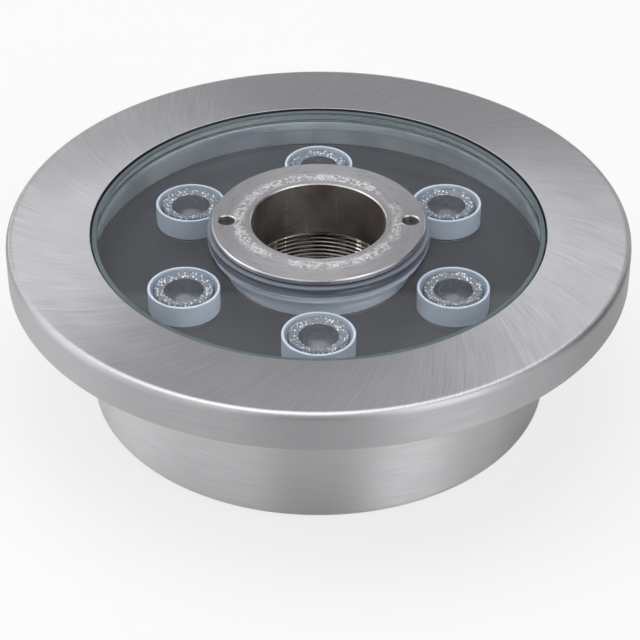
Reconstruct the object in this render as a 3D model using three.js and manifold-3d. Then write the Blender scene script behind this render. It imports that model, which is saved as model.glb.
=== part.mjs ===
// Underwater pond light: a round stainless fountain lamp with a threaded bore through its middle.
// Millimetres, +Z up, origin at the centre of the flat base that the lamp stands on.
import * as THREE from 'three';
import { mergeVertices } from 'three/addons/utils/BufferGeometryUtils.js';
import Module from 'manifold-3d';

const wasm = await Module();
wasm.setup();

// ---- driving dimensions ----

// housing cup
const CUP_OUTER_RADIUS = 71.1;
const CUP_WALL = 1.1;
const CUP_BASE_THICKNESS = 1.2;
const CUP_BOTTOM_FILLET = 2.0;

// flange welded round the cup's rim, on which the face ring lies
const FLANGE_WIDTH = 12.8;
const FLANGE_THICKNESS = 1.1;

// face ring
const FACE_PLANE_HEIGHT = 56.8;
const FACE_OVERHANG = 23.9;
const FACE_SHEET = 1.5;
const FACE_SHOULDER_RADIUS = 2.1;
const FACE_SKIRT_DEPTH = 12.1;
const APERTURE_LEDGE = 0.5;

// glass and its two U-section gaskets
const GLASS_THICKNESS = 6;
const GLASS_RECESS = 1.4;
const GASKET_LIP = 0.6;
const GASKET_WEB = 0.7;
const OUTER_GASKET_GAP = 0.4;
const OUTER_TOP_LIP_WIDTH = 1.5;
const OUTER_LOWER_LIP_WIDTH = 1.4;
const GLASS_HOLE_CLEARANCE = 2.1;
const INNER_GASKET_SHOW = 1.3;
const SEAT_RING_WIDTH = 2;
const SEAT_RING_HEIGHT = 3;

// centre tube, with the exposed turns of its internal thread
const TUBE_WALL = 6.3;
const TUBE_BORE_STEP = 0.6;
const TUBE_SEAT_SHOW = 0.4;
const TUBE_SEAT_THICKNESS = 2;
const THREAD_PITCH = 1.5;
const THREAD_CREST_STEP = 0.8;
const THREAD_DEPTH = 0.9;
const THREAD_TURNS_BELOW_NECK = 7;

// clamp ring: a flanged pin-spanner nut, with the slip washer that it carries
const CLAMP_FLANGE_WIDTH = 10.6;
const CLAMP_FLANGE_THICKNESS = 1.6;
const CLAMP_BORE_RADIUS = 20.6;
const CLAMP_NECK_WALL = 1.4;
const CLAMP_NECK_LENGTH = 16.3;
const CLAMP_EDGE_CHAMFER = 0.3;
const SPANNER_HOLE_RADIUS = 2.5;
const SPANNER_HOLE_OFFSET = 6;
const SLIP_WASHER_THICKNESS = 0.5;
const SLIP_WASHER_INSET = 0.4;

// light sources
const LAMP_COUNT = 6;
const LAMP_TUBE_GAP = 7.1;
const LAMP_START_ANGLE = 30;
const LENS_RADIUS = 9.9;
const LENS_FLANGE_THICKNESS = 1.5;
const LENS_FOOT_RADIUS = 3.4;
const LENS_WELL_RADIUS = 2.6;
const LENS_WELL_DEPTH = 4.2;
const LENS_HEIGHT = 12.9;
const LENS_GLASS_GAP = 3.5;
const HOLDER_WALL = 0.8;
const HOLDER_RIM = 0.2;
const HOLDER_LEDGE = 0.6;
const LED_WIDTH = 3.5;
const LED_BASE_THICKNESS = 0.8;
const LED_DOME_RADIUS = 1.3;

// boards and potting
const LED_BOARD_THICKNESS = 1.6;
const POTTING_DEPTH = 6.4;
const DRIVER_BOARD_HEIGHT = 8.4;
const DRIVER_BOARD_THICKNESS = 1.6;
const DRIVER_BOARD_GLAND_GAP = 5.9;
const DRIVER_BOARD_TUBE_GAP = 2.5;
const STANDOFF_COUNT = 3;
const STANDOFF_EDGE_MARGIN = 5;
const STANDOFF_FLATS = 5.5;
const STANDOFF_STUD_RADIUS = 1.4;
const STANDOFF_STUD_LENGTH = 6;
const SCREW_HEAD_RADIUS = 2.8;
const SCREW_HEAD_HEIGHT = 1.9;
const SCREW_SHANK_LENGTH = 7;

// cable gland, on the +Y side of the cup
const GLAND_BOARD_GAP = 1;
const GLAND_THREAD_RADIUS = 8;
const GLAND_BORE_RADIUS = 4.5;
const GLAND_BOSS_RADIUS = 12.5;
const GLAND_BOSS_LENGTH = 2.9;
const GLAND_SEAL_THICKNESS = 1.2;
const GLAND_HEX_FLATS = 22;
const GLAND_HEX_THICKNESS = 4;
const GLAND_BARREL_LENGTH = 8.8;
const GLAND_BUSH_RADIUS = 6.2;
const GLAND_BUSH_BORE_RADIUS = 3.2;
const GLAND_BUSH_LENGTH = 8.2;
const GLAND_CAP_FLATS = 21;
const GLAND_CAP_LENGTH = 13.6;
const GLAND_CAP_END = 1.9;
const GLAND_SLIP_THICKNESS = 0.8;
const GLAND_NUT_FLATS = 18;
const GLAND_NUT_THICKNESS = 4;

// clearances
const SLIDING_CLEARANCE = 0.2;
const SEATING_CLEARANCE = 0.1;
const CUT_CLEARANCE = 0.3;
const HOLE_CLEARANCE = 0.3;

// facets round a full turn
const LARGE_FACETS = 48;
const MEDIUM_FACETS = 36;
const BOSS_FACETS = 32;
const GLAND_FACETS = 24;
const LAMP_HOLE_FACETS = 20;
const SMALL_FACETS = 16;
const TINY_FACETS = 12;

// ---- sizes and heights worked out from them ----

const cupInnerRadius = CUP_OUTER_RADIUS - CUP_WALL;
const flangeRadius = CUP_OUTER_RADIUS + SEATING_CLEARANCE + FLANGE_WIDTH;
const faceOuterRadius = CUP_OUTER_RADIUS + FACE_OVERHANG;
const apertureRadius = cupInnerRadius - APERTURE_LEDGE;
const faceUndersideHeight = FACE_PLANE_HEIGHT - FACE_SHEET;
const glassTopHeight = FACE_PLANE_HEIGHT - GLASS_RECESS;
const glassBottomHeight = glassTopHeight - GLASS_THICKNESS;
const gasketTopHeight = glassTopHeight + GASKET_LIP;
const glassSeatHeight = glassBottomHeight - GASKET_LIP;
const outerGasketRadius = apertureRadius - OUTER_GASKET_GAP;
const outerGasketInnerRadius = outerGasketRadius - GASKET_WEB;
const glassRadius = outerGasketInnerRadius - SEATING_CLEARANCE;
const seatRingOuterRadius = cupInnerRadius - SEATING_CLEARANCE;

const clampUndersideHeight = gasketTopHeight + SLIP_WASHER_THICKNESS;
const clampTopHeight = clampUndersideHeight + CLAMP_FLANGE_THICKNESS;
const neckRadius = CLAMP_BORE_RADIUS + CLAMP_NECK_WALL;
const clampFlangeRadius = neckRadius + CLAMP_FLANGE_WIDTH;
const spannerCircleRadius = neckRadius + SPANNER_HOLE_OFFSET;
const glassHoleRadius = neckRadius + GLASS_HOLE_CLEARANCE;
const innerGasketWebRadius = glassHoleRadius - SEATING_CLEARANCE;
const innerGasketRadius = clampFlangeRadius + INNER_GASKET_SHOW;
const neckBottomHeight = clampUndersideHeight - CLAMP_NECK_LENGTH;
const neckSocketRadius = neckRadius + SLIDING_CLEARANCE;
const tubeOuterRadius = neckSocketRadius + TUBE_WALL;
const tubeBoreRadius = CLAMP_BORE_RADIUS + TUBE_BORE_STEP;
const tubeSeatRadius = clampFlangeRadius + TUBE_SEAT_SHOW;
const threadCrestRadius = CLAMP_BORE_RADIUS + THREAD_CREST_STEP;
const threadRootRadius = threadCrestRadius + THREAD_DEPTH;
const threadTopHeight = neckBottomHeight - CUT_CLEARANCE;
const threadBottomHeight = threadTopHeight - THREAD_TURNS_BELOW_NECK * THREAD_PITCH;

const holderInnerRadius = LENS_RADIUS + SLIDING_CLEARANCE;
const holderOuterRadius = holderInnerRadius + HOLDER_WALL;
const lampCircleRadius = tubeOuterRadius + LAMP_TUBE_GAP + holderOuterRadius;
const lensTopHeight = glassBottomHeight - LENS_GLASS_GAP;
const ledBoardTopHeight = lensTopHeight - LENS_HEIGHT;
const ledBoardBottomHeight = ledBoardTopHeight - LED_BOARD_THICKNESS;
const lensFlangeHeight = lensTopHeight - LENS_FLANGE_THICKNESS;
const lensFootHeight = ledBoardTopHeight + LED_BASE_THICKNESS + CUT_CLEARANCE;
const boardHoleRadius = tubeOuterRadius + HOLE_CLEARANCE;
const ledBoardRadius = cupInnerRadius - 2 * CUT_CLEARANCE;
const pottingRadius = cupInnerRadius - CUT_CLEARANCE;
const driverBoardTopHeight = DRIVER_BOARD_HEIGHT + DRIVER_BOARD_THICKNESS;
const standoffBoreRadius = STANDOFF_STUD_RADIUS + SLIDING_CLEARANCE;

// places along the gland's axis, as distances from the lamp's axis
const bossFace = CUP_OUTER_RADIUS + GLAND_BOSS_LENGTH;
const sealFace = bossFace + CUT_CLEARANCE;
const glandHexFace = sealFace + GLAND_SEAL_THICKNESS + CUT_CLEARANCE;
const glandShoulder = glandHexFace + GLAND_HEX_THICKNESS;
const glandMouth = glandShoulder + GLAND_BARREL_LENGTH;
const capInnerEnd = glandShoulder + CUT_CLEARANCE;
const capOuterEnd = capInnerEnd + GLAND_CAP_LENGTH;
const capEndWall = capOuterEnd - GLAND_CAP_END;
const slipRingFace = capEndWall - CUT_CLEARANCE - GLAND_SLIP_THICKNESS;
const bushOuterEnd = slipRingFace - CUT_CLEARANCE;
const bushInnerEnd = bushOuterEnd - GLAND_BUSH_LENGTH;
const bushPocketEnd = bushInnerEnd - CUT_CLEARANCE;
const bushPocketRadius = GLAND_BUSH_RADIUS + CUT_CLEARANCE;
const glandHoleRadius = GLAND_THREAD_RADIUS + HOLE_CLEARANCE;
const lockNutCorner = GLAND_NUT_FLATS / Math.sqrt(3);
const glandHeight = ledBoardBottomHeight - GLAND_BOARD_GAP - lockNutCorner;
const lockNutFace = Math.sqrt(cupInnerRadius ** 2 - lockNutCorner ** 2) - CUT_CLEARANCE;
const lockNutInnerFace = lockNutFace - GLAND_NUT_THICKNESS;
const glandTail = lockNutInnerFace - 1;
const driverBoardOuterRadius = glandTail - DRIVER_BOARD_GLAND_GAP;
const driverBoardInnerRadius = tubeOuterRadius + DRIVER_BOARD_TUBE_GAP;
const standoffCircleRadius = driverBoardOuterRadius - STANDOFF_EDGE_MARGIN;

// ---- materials ----

const finishes = {
  brushedSteel: { color: 0xa8a8ac, roughness: 0.38, metalness: 1 },
  turnedSteel: { color: 0xb0aeac, roughness: 0.32, metalness: 1 },
  glass: { color: 0xd5e6e2, roughness: 0.05, metalness: 0, transparent: true, opacity: 0.3 },
  clearPlastic: { color: 0xe2e6ee, roughness: 0.1, metalness: 0, transparent: true, opacity: 0.6 },
  frostedPlastic: { color: 0xaeb6c4, roughness: 0.5, metalness: 0 },
  silicone: { color: 0x77848c, roughness: 0.5, metalness: 0 },
  blackWasher: { color: 0x181c1c, roughness: 0.45, metalness: 0 },
  potting: { color: 0x34363e, roughness: 0.3, metalness: 0 },
  aluminium: { color: 0xc4c6c8, roughness: 0.4, metalness: 1 },
  ledYellow: { color: 0xd8c070, roughness: 0.3, metalness: 0 },
  brass: { color: 0xb59a5a, roughness: 0.3, metalness: 1 },
  boardGreen: { color: 0x1f5a38, roughness: 0.5, metalness: 0 },
  blackPlastic: { color: 0x202022, roughness: 0.5, metalness: 0 },
  capacitorSleeve: { color: 0x22284a, roughness: 0.4, metalness: 0 },
  copper: { color: 0xb87040, roughness: 0.35, metalness: 1 },
  terminalGreen: { color: 0x2e8a4e, roughness: 0.45, metalness: 0 },
  redWire: { color: 0xa02020, roughness: 0.5, metalness: 0 },
  blackWire: { color: 0x1a1a1a, roughness: 0.5, metalness: 0 },
};

// ---- shape helpers ----

function closedShape(geometry) {
  const bare = geometry.index ? geometry.toNonIndexed() : geometry.clone();
  bare.deleteAttribute('normal');
  bare.deleteAttribute('uv');
  return mergeVertices(bare, 1e-4);
}

function dropFlatTriangles(geometry) {
  const index = geometry.index.array;
  const kept = [];
  for (let i = 0; i < index.length; i += 3) {
    const [a, b, c] = [index[i], index[i + 1], index[i + 2]];
    if (a !== b && b !== c && c !== a) {
      kept.push(a, b, c);
    }
  }
  geometry.setIndex(kept);
  return geometry;
}

// Six times the signed volume: negative when the faces point inwards.
function signedVolume(geometry) {
  const [a, b, c] = [new THREE.Vector3(), new THREE.Vector3(), new THREE.Vector3()];
  const position = geometry.getAttribute('position');
  let total = 0;
  for (let i = 0; i < geometry.index.count; i += 3) {
    a.fromBufferAttribute(position, geometry.index.getX(i));
    b.fromBufferAttribute(position, geometry.index.getX(i + 1));
    c.fromBufferAttribute(position, geometry.index.getX(i + 2));
    total += a.dot(b.cross(c));
  }
  return total;
}

// A body of revolution about Z. The outline is a list of [radius, height] points. It closes on
// itself, unless it starts and ends on the axis.
function turned(outline, facets) {
  const points = outline.map(([radius, height]) => new THREE.Vector2(radius, height));
  const onAxis = outline[0][0] === 0 && outline[outline.length - 1][0] === 0;
  if (!onAxis) {
    points.push(points[0].clone());
  }
  const lathe = new THREE.LatheGeometry(points, facets);
  lathe.rotateX(Math.PI / 2);
  const shape = dropFlatTriangles(closedShape(lathe));
  if (signedVolume(shape) < 0) {
    shape.index.array.reverse();
  }
  return shape;
}

function disc(radius, bottom, top, facets) {
  return turned([[0, bottom], [radius, bottom], [radius, top], [0, top]], facets);
}

function annulus(innerRadius, outerRadius, bottom, top, facets) {
  const outline = [[innerRadius, bottom], [outerRadius, bottom], [outerRadius, top], [innerRadius, top]];
  return turned(outline, facets);
}

// A hexagonal prism with its flats a given distance apart, standing on a given height.
function hexPrism(flats, bottom, top) {
  const prism = new THREE.CylinderGeometry(flats / Math.sqrt(3), flats / Math.sqrt(3), top - bottom, 6);
  prism.rotateX(Math.PI / 2);
  prism.translate(0, 0, (bottom + top) / 2);
  return closedShape(prism);
}

function block(width, depth, bottom, top) {
  const box = new THREE.BoxGeometry(width, depth, top - bottom);
  box.translate(0, 0, (bottom + top) / 2);
  return closedShape(box);
}

function moved(geometry, x, y) {
  return geometry.translate(x, y, 0);
}

function arc(centreRadius, centreHeight, radius, fromDegrees, toDegrees, steps) {
  const points = [];
  for (let i = 0; i <= steps; i += 1) {
    const angle = THREE.MathUtils.degToRad(fromDegrees + (toDegrees - fromDegrees) * i / steps);
    points.push([centreRadius + radius * Math.cos(angle), centreHeight + radius * Math.sin(angle)]);
  }
  return points;
}

function onCircle(radius, degrees) {
  const angle = THREE.MathUtils.degToRad(degrees);
  return [radius * Math.cos(angle), radius * Math.sin(angle)];
}

// ---- joining and cutting ----

function toSolid(geometry) {
  return new wasm.Manifold(new wasm.Mesh({
    numProp: 3,
    vertProperties: new Float32Array(geometry.getAttribute('position').array),
    triVerts: new Uint32Array(geometry.index.array),
  }));
}

function toGeometry(solid) {
  const mesh = solid.getMesh();
  const geometry = new THREE.BufferGeometry();
  geometry.setAttribute('position', new THREE.BufferAttribute(mesh.vertProperties, 3));
  geometry.setIndex(new THREE.BufferAttribute(mesh.triVerts, 1));
  return geometry;
}

function cut(geometry, ...cutters) {
  return toGeometry(cutters.reduce((solid, cutter) => solid.subtract(toSolid(cutter)), toSolid(geometry)));
}

function join(geometry, ...others) {
  return toGeometry(others.reduce((solid, other) => solid.add(toSolid(other)), toSolid(geometry)));
}

// ---- the assembly ----

const light = new THREE.Group();

function addPiece(name, geometry, finish, parent = light) {
  geometry.computeVertexNormals();
  const mesh = new THREE.Mesh(geometry, new THREE.MeshStandardMaterial(finishes[finish]));
  mesh.name = name;
  parent.add(mesh);
  return mesh;
}

// ---- housing: cup, glass seat, face ring and centre tube ----

// Turns a shape made along +Z so that it lies along +Y, at the gland's height.
function alongGland(geometry) {
  geometry.rotateX(-Math.PI / 2);
  geometry.translate(0, 0, glandHeight);
  return geometry;
}

function housingCup() {
  const baseHole = tubeOuterRadius + SEATING_CLEARANCE;
  const innerFillet = CUP_BOTTOM_FILLET - CUP_WALL;
  const outline = [
    [baseHole, 0],
    ...arc(CUP_OUTER_RADIUS - CUP_BOTTOM_FILLET, CUP_BOTTOM_FILLET, CUP_BOTTOM_FILLET, -90, 0, 3),
    [CUP_OUTER_RADIUS, faceUndersideHeight],
    [cupInnerRadius, faceUndersideHeight],
    [cupInnerRadius, CUP_BASE_THICKNESS + innerFillet],
    [cupInnerRadius - innerFillet, CUP_BASE_THICKNESS],
    [baseHole, CUP_BASE_THICKNESS],
  ];
  const shell = turned(outline, LARGE_FACETS);
  const wallMiddle = cupInnerRadius + CUP_WALL / 2;
  const bossBlank = alongGland(disc(GLAND_BOSS_RADIUS, cupInnerRadius - CUP_WALL, bossFace, BOSS_FACETS));
  const insideOfWall = disc(wallMiddle, 0, faceUndersideHeight, LARGE_FACETS);
  const boss = cut(bossBlank, insideOfWall);
  const bore = alongGland(disc(glandHoleRadius, cupInnerRadius / 2, bossFace + CUP_WALL, BOSS_FACETS));
  return cut(join(shell, boss), bore);
}

function mountingFlange() {
  const innerRadius = CUP_OUTER_RADIUS + SEATING_CLEARANCE;
  const bottom = faceUndersideHeight - FLANGE_THICKNESS;
  return annulus(innerRadius, flangeRadius, bottom, faceUndersideHeight, LARGE_FACETS);
}

function faceRing() {
  const shoulderCentre = faceOuterRadius - FACE_SHOULDER_RADIUS;
  const shoulderHeight = FACE_PLANE_HEIGHT - FACE_SHOULDER_RADIUS;
  const innerShoulder = FACE_SHOULDER_RADIUS - FACE_SHEET;
  const skirtBottom = FACE_PLANE_HEIGHT - FACE_SKIRT_DEPTH;
  const outline = [
    [apertureRadius, FACE_PLANE_HEIGHT],
    [apertureRadius, faceUndersideHeight],
    ...arc(shoulderCentre, shoulderHeight, innerShoulder, 90, 0, 2),
    [faceOuterRadius - FACE_SHEET, skirtBottom],
    [faceOuterRadius, skirtBottom],
    ...arc(shoulderCentre, shoulderHeight, FACE_SHOULDER_RADIUS, 0, 90, 4),
  ];
  return turned(outline, LARGE_FACETS);
}

function seatRing() {
  const innerRadius = seatRingOuterRadius - SEAT_RING_WIDTH;
  const bottom = glassSeatHeight - SEAT_RING_HEIGHT;
  return annulus(innerRadius, seatRingOuterRadius, bottom, glassSeatHeight, LARGE_FACETS);
}

function centreTube() {
  const seatBottom = glassSeatHeight - TUBE_SEAT_THICKNESS;
  const thread = [];
  for (let turn = 0; turn < THREAD_TURNS_BELOW_NECK; turn += 1) {
    const crestHeight = threadTopHeight - turn * THREAD_PITCH;
    thread.push([threadCrestRadius, crestHeight]);
    thread.push([threadRootRadius, crestHeight - THREAD_PITCH / 2]);
  }
  const outline = [
    [tubeOuterRadius, 0],
    [tubeOuterRadius, seatBottom],
    [tubeSeatRadius, seatBottom],
    [tubeSeatRadius, glassSeatHeight],
    [neckSocketRadius, glassSeatHeight],
    [neckSocketRadius, threadTopHeight],
    ...thread,
    [threadCrestRadius, threadBottomHeight],
    [tubeBoreRadius, threadBottomHeight - THREAD_PITCH / 2],
    [tubeBoreRadius, 0],
  ];
  return turned(outline, MEDIUM_FACETS);
}

addPiece('housing_cup', housingCup(), 'brushedSteel');
addPiece('mounting_flange', mountingFlange(), 'brushedSteel');
addPiece('face_ring', faceRing(), 'brushedSteel');
addPiece('seat_ring', seatRing(), 'brushedSteel');
addPiece('centre_tube', centreTube(), 'turnedSteel');

// ---- glass, gaskets and the clamp ring ----

function outerGasket() {
  const outline = [
    [outerGasketRadius, glassSeatHeight],
    [outerGasketRadius, gasketTopHeight],
    [outerGasketRadius - OUTER_TOP_LIP_WIDTH, gasketTopHeight],
    [outerGasketRadius - OUTER_TOP_LIP_WIDTH, glassTopHeight],
    [outerGasketInnerRadius, glassTopHeight],
    [outerGasketInnerRadius, glassBottomHeight],
    [outerGasketRadius - OUTER_LOWER_LIP_WIDTH, glassBottomHeight],
    [outerGasketRadius - OUTER_LOWER_LIP_WIDTH, glassSeatHeight],
  ];
  return turned(outline, LARGE_FACETS);
}

function innerGasket() {
  const boreRadius = innerGasketWebRadius - GASKET_WEB;
  const outline = [
    [boreRadius, glassSeatHeight],
    [innerGasketRadius, glassSeatHeight],
    [innerGasketRadius, glassBottomHeight],
    [innerGasketWebRadius, glassBottomHeight],
    [innerGasketWebRadius, glassTopHeight],
    [innerGasketRadius, glassTopHeight],
    [innerGasketRadius, gasketTopHeight],
    [boreRadius, gasketTopHeight],
  ];
  return turned(outline, MEDIUM_FACETS);
}

function clampRing() {
  const outline = [
    [CLAMP_BORE_RADIUS, neckBottomHeight],
    [neckRadius, neckBottomHeight],
    [neckRadius, clampUndersideHeight],
    [clampFlangeRadius, clampUndersideHeight],
    [clampFlangeRadius, clampTopHeight - CLAMP_EDGE_CHAMFER],
    [clampFlangeRadius - CLAMP_EDGE_CHAMFER, clampTopHeight],
    [CLAMP_BORE_RADIUS + CLAMP_EDGE_CHAMFER, clampTopHeight],
    [CLAMP_BORE_RADIUS, clampTopHeight - CLAMP_EDGE_CHAMFER],
  ];
  const holeBottom = clampUndersideHeight - CUT_CLEARANCE;
  const holeTop = clampTopHeight + CUT_CLEARANCE;
  const holes = [-1, 1].map((side) => moved(
    disc(SPANNER_HOLE_RADIUS, holeBottom, holeTop, SMALL_FACETS), side * spannerCircleRadius, 0));
  return cut(turned(outline, MEDIUM_FACETS), ...holes);
}

function slipWasher() {
  const innerRadius = neckRadius + 2 * SLIDING_CLEARANCE;
  const outerRadius = clampFlangeRadius - SLIP_WASHER_INSET;
  return annulus(innerRadius, outerRadius, gasketTopHeight, clampUndersideHeight, MEDIUM_FACETS);
}

const glassDisc = annulus(glassHoleRadius, glassRadius, glassBottomHeight, glassTopHeight, LARGE_FACETS);
addPiece('glass_disc', glassDisc, 'glass');
addPiece('outer_gasket', outerGasket(), 'silicone');
addPiece('inner_gasket', innerGasket(), 'silicone');
addPiece('clamp_ring', clampRing(), 'turnedSteel');
addPiece('slip_washer', slipWasher(), 'blackWasher');

// ---- LED board, potting, and a light source at each place round the circle ----

const lampPlaces = Array.from({ length: LAMP_COUNT }, (unused, i) => (
  onCircle(lampCircleRadius, LAMP_START_ANGLE + i * 360 / LAMP_COUNT)));
const standoffPlaces = Array.from({ length: STANDOFF_COUNT }, (unused, i) => (
  onCircle(standoffCircleRadius, i * 360 / STANDOFF_COUNT)));

function ledBoard() {
  const [bottom, top] = [ledBoardBottomHeight, ledBoardTopHeight];
  const board = annulus(boardHoleRadius, ledBoardRadius, bottom, top, LARGE_FACETS);
  const holes = standoffPlaces.map(([x, y]) => moved(
    disc(STANDOFF_STUD_RADIUS + HOLE_CLEARANCE, bottom - 1, top + 1, SMALL_FACETS), x, y));
  return cut(board, ...holes);
}

function pottingFill() {
  const bottom = ledBoardTopHeight;
  const top = ledBoardTopHeight + POTTING_DEPTH;
  const slab = annulus(boardHoleRadius, pottingRadius, bottom, top, LARGE_FACETS);
  const lampHoles = lampPlaces.map(([x, y]) => moved(
    disc(holderOuterRadius + CUT_CLEARANCE, bottom - 1, top + 1, LAMP_HOLE_FACETS), x, y));
  const pocketRadius = SCREW_HEAD_RADIUS + CUT_CLEARANCE;
  const pocketTop = bottom + SCREW_HEAD_HEIGHT + CUT_CLEARANCE;
  const screwPockets = standoffPlaces.map(([x, y]) => moved(
    disc(pocketRadius, bottom - 1, pocketTop, TINY_FACETS), x, y));
  return cut(slab, ...lampHoles, ...screwPockets);
}

function ledPackage() {
  const base = block(LED_WIDTH, LED_WIDTH, ledBoardTopHeight, ledBoardTopHeight + LED_BASE_THICKNESS);
  const domeBottom = ledBoardTopHeight + LED_BASE_THICKNESS / 2;
  const domeHeight = ledBoardTopHeight + LED_BASE_THICKNESS;
  const dome = turned([
    [0, domeBottom],
    [LED_DOME_RADIUS, domeBottom],
    ...arc(0, domeHeight, LED_DOME_RADIUS, 0, 60, 2),
    [0, domeHeight + LED_DOME_RADIUS],
  ], TINY_FACETS);
  return join(base, dome);
}

// A total-internal-reflection collimator: a flat face, a flange, a flared body and a well for the LED.
function collimatorLens() {
  const bodyTopRadius = LENS_RADIUS - HOLDER_LEDGE - 2 * SLIDING_CLEARANCE;
  const wellTop = lensFootHeight + LENS_WELL_DEPTH;
  const flare = [];
  const flareSteps = 3;
  for (let i = 0; i <= flareSteps; i += 1) {
    const share = i / flareSteps;
    const radius = LENS_FOOT_RADIUS + (bodyTopRadius - LENS_FOOT_RADIUS) * Math.sqrt(share);
    flare.push([radius, lensFootHeight + (lensFlangeHeight - lensFootHeight) * share]);
  }
  const outline = [
    [0, wellTop],
    [LENS_WELL_RADIUS, wellTop],
    [LENS_WELL_RADIUS, lensFootHeight],
    ...flare,
    [LENS_RADIUS, lensFlangeHeight],
    [LENS_RADIUS, lensTopHeight],
    [0, lensTopHeight],
  ];
  return turned(outline, SMALL_FACETS);
}

function lensHolder() {
  const ledgeRadius = LENS_RADIUS - HOLDER_LEDGE;
  const outline = [
    [ledgeRadius, ledBoardTopHeight],
    [holderOuterRadius, ledBoardTopHeight],
    [holderOuterRadius, lensTopHeight + HOLDER_RIM],
    [holderInnerRadius, lensTopHeight + HOLDER_RIM],
    [holderInnerRadius, lensFlangeHeight],
    [ledgeRadius, lensFlangeHeight],
  ];
  return turned(outline, SMALL_FACETS);
}

addPiece('led_board', ledBoard(), 'aluminium');
addPiece('potting_fill', pottingFill(), 'potting');
lampPlaces.forEach(([x, y], i) => {
  addPiece(`led_${i + 1}`, ledPackage(), 'ledYellow').position.set(x, y, 0);
  addPiece(`lens_${i + 1}`, collimatorLens(), 'clearPlastic').position.set(x, y, 0);
  addPiece(`lens_holder_${i + 1}`, lensHolder(), 'frostedPlastic').position.set(x, y, 0);
});

// ---- standoffs and screws that carry the two boards ----

function lowerStandoff() {
  const post = hexPrism(STANDOFF_FLATS, CUP_BASE_THICKNESS, DRIVER_BOARD_HEIGHT);
  const boreBottom = DRIVER_BOARD_HEIGHT - STANDOFF_STUD_LENGTH;
  const bore = disc(standoffBoreRadius, boreBottom, DRIVER_BOARD_HEIGHT + 1, TINY_FACETS);
  return cut(post, bore);
}

function upperStandoff() {
  const post = hexPrism(STANDOFF_FLATS, driverBoardTopHeight, ledBoardBottomHeight);
  const studBottom = DRIVER_BOARD_HEIGHT - STANDOFF_STUD_LENGTH + CUT_CLEARANCE;
  const stud = disc(STANDOFF_STUD_RADIUS, studBottom, driverBoardTopHeight + 1, TINY_FACETS);
  const boreBottom = ledBoardBottomHeight - SCREW_SHANK_LENGTH;
  const bore = disc(standoffBoreRadius, boreBottom, ledBoardBottomHeight + 1, TINY_FACETS);
  return cut(join(post, stud), bore);
}

function boardScrew() {
  const shankBottom = ledBoardTopHeight - SCREW_SHANK_LENGTH;
  const headTop = ledBoardTopHeight + SCREW_HEAD_HEIGHT;
  const socketDepth = SCREW_HEAD_HEIGHT / 2;
  const outline = [
    [0, shankBottom],
    [STANDOFF_STUD_RADIUS, shankBottom],
    [STANDOFF_STUD_RADIUS, ledBoardTopHeight],
    [SCREW_HEAD_RADIUS, ledBoardTopHeight],
    [SCREW_HEAD_RADIUS, headTop - socketDepth],
    [SCREW_HEAD_RADIUS * 0.75, headTop],
    [0, headTop],
  ];
  const [slotLength, slotWidth] = [SCREW_HEAD_RADIUS * 1.1, SCREW_HEAD_RADIUS * 0.3];
  const crossSlot = block(slotLength, slotWidth, headTop - socketDepth, headTop + 1);
  const crossSlotAcross = crossSlot.clone().rotateZ(Math.PI / 2);
  return cut(turned(outline, TINY_FACETS), crossSlot, crossSlotAcross);
}

standoffPlaces.forEach(([x, y], i) => {
  addPiece(`lower_standoff_${i + 1}`, lowerStandoff(), 'brass').position.set(x, y, 0);
  addPiece(`upper_standoff_${i + 1}`, upperStandoff(), 'brass').position.set(x, y, 0);
  addPiece(`board_screw_${i + 1}`, boardScrew(), 'turnedSteel').position.set(x, y, 0);
});

// ---- driver board and what is soldered to it ----

const componentCircle = (driverBoardInnerRadius + driverBoardOuterRadius) / 2;

function driverBoard() {
  const board = annulus(
    driverBoardInnerRadius, driverBoardOuterRadius, DRIVER_BOARD_HEIGHT, driverBoardTopHeight, MEDIUM_FACETS);
  const holes = standoffPlaces.map(([x, y]) => moved(
    disc(standoffBoreRadius, DRIVER_BOARD_HEIGHT - 1, driverBoardTopHeight + 1, TINY_FACETS), x, y));
  return cut(board, ...holes);
}

function capacitor() {
  const radius = 5;
  const height = 12;
  const bottom = driverBoardTopHeight;
  const outline = [
    [0, bottom],
    [radius, bottom],
    [radius, bottom + 1],
    [radius - 0.5, bottom + 1.5],
    [radius, bottom + 2],
    [radius, bottom + height - 0.5],
    [radius - 0.5, bottom + height],
    [0, bottom + height],
  ];
  return turned(outline, 16);
}

function inductor() {
  const radius = 6;
  const waist = 4.6;
  const flange = 1.2;
  const bottom = driverBoardTopHeight;
  const height = 8;
  const outline = [
    [0, bottom],
    [radius, bottom],
    [radius, bottom + flange],
    [waist, bottom + flange],
    [waist, bottom + height - flange],
    [radius, bottom + height - flange],
    [radius, bottom + height],
    [0, bottom + height],
  ];
  return turned(outline, SMALL_FACETS);
}

// A flat package with a row of bent legs along two sides.
function chip(width, depth, height, legs, legWidth) {
  const bottom = driverBoardTopHeight;
  const body = block(width, depth, bottom + 0.2, bottom + height);
  const pitch = width / legs;
  const feet = [];
  for (let leg = 0; leg < legs; leg += 1) {
    const x = (leg - (legs - 1) / 2) * pitch;
    feet.push(moved(block(legWidth, depth + 2.4, bottom, bottom + 0.6), x, 0));
  }
  return join(body, ...feet);
}

function terminalBlock() {
  const [width, depth, height] = [10.2, 8, 10];
  const poles = 2;
  const bottom = driverBoardTopHeight;
  const body = block(width, depth, bottom, bottom + height);
  const cutters = [];
  for (let pole = 0; pole < poles; pole += 1) {
    const x = (pole - (poles - 1) / 2) * width / poles;
    cutters.push(moved(disc(1.7, bottom + height / 2 + 1, bottom + height + 1, TINY_FACETS), x, 0));
    cutters.push(moved(block(3, depth / 2, bottom + 1.2, bottom + 4.6), x, depth / 2));
  }
  return cut(body, ...cutters);
}

addPiece('driver_board', driverBoard(), 'boardGreen');

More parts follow.
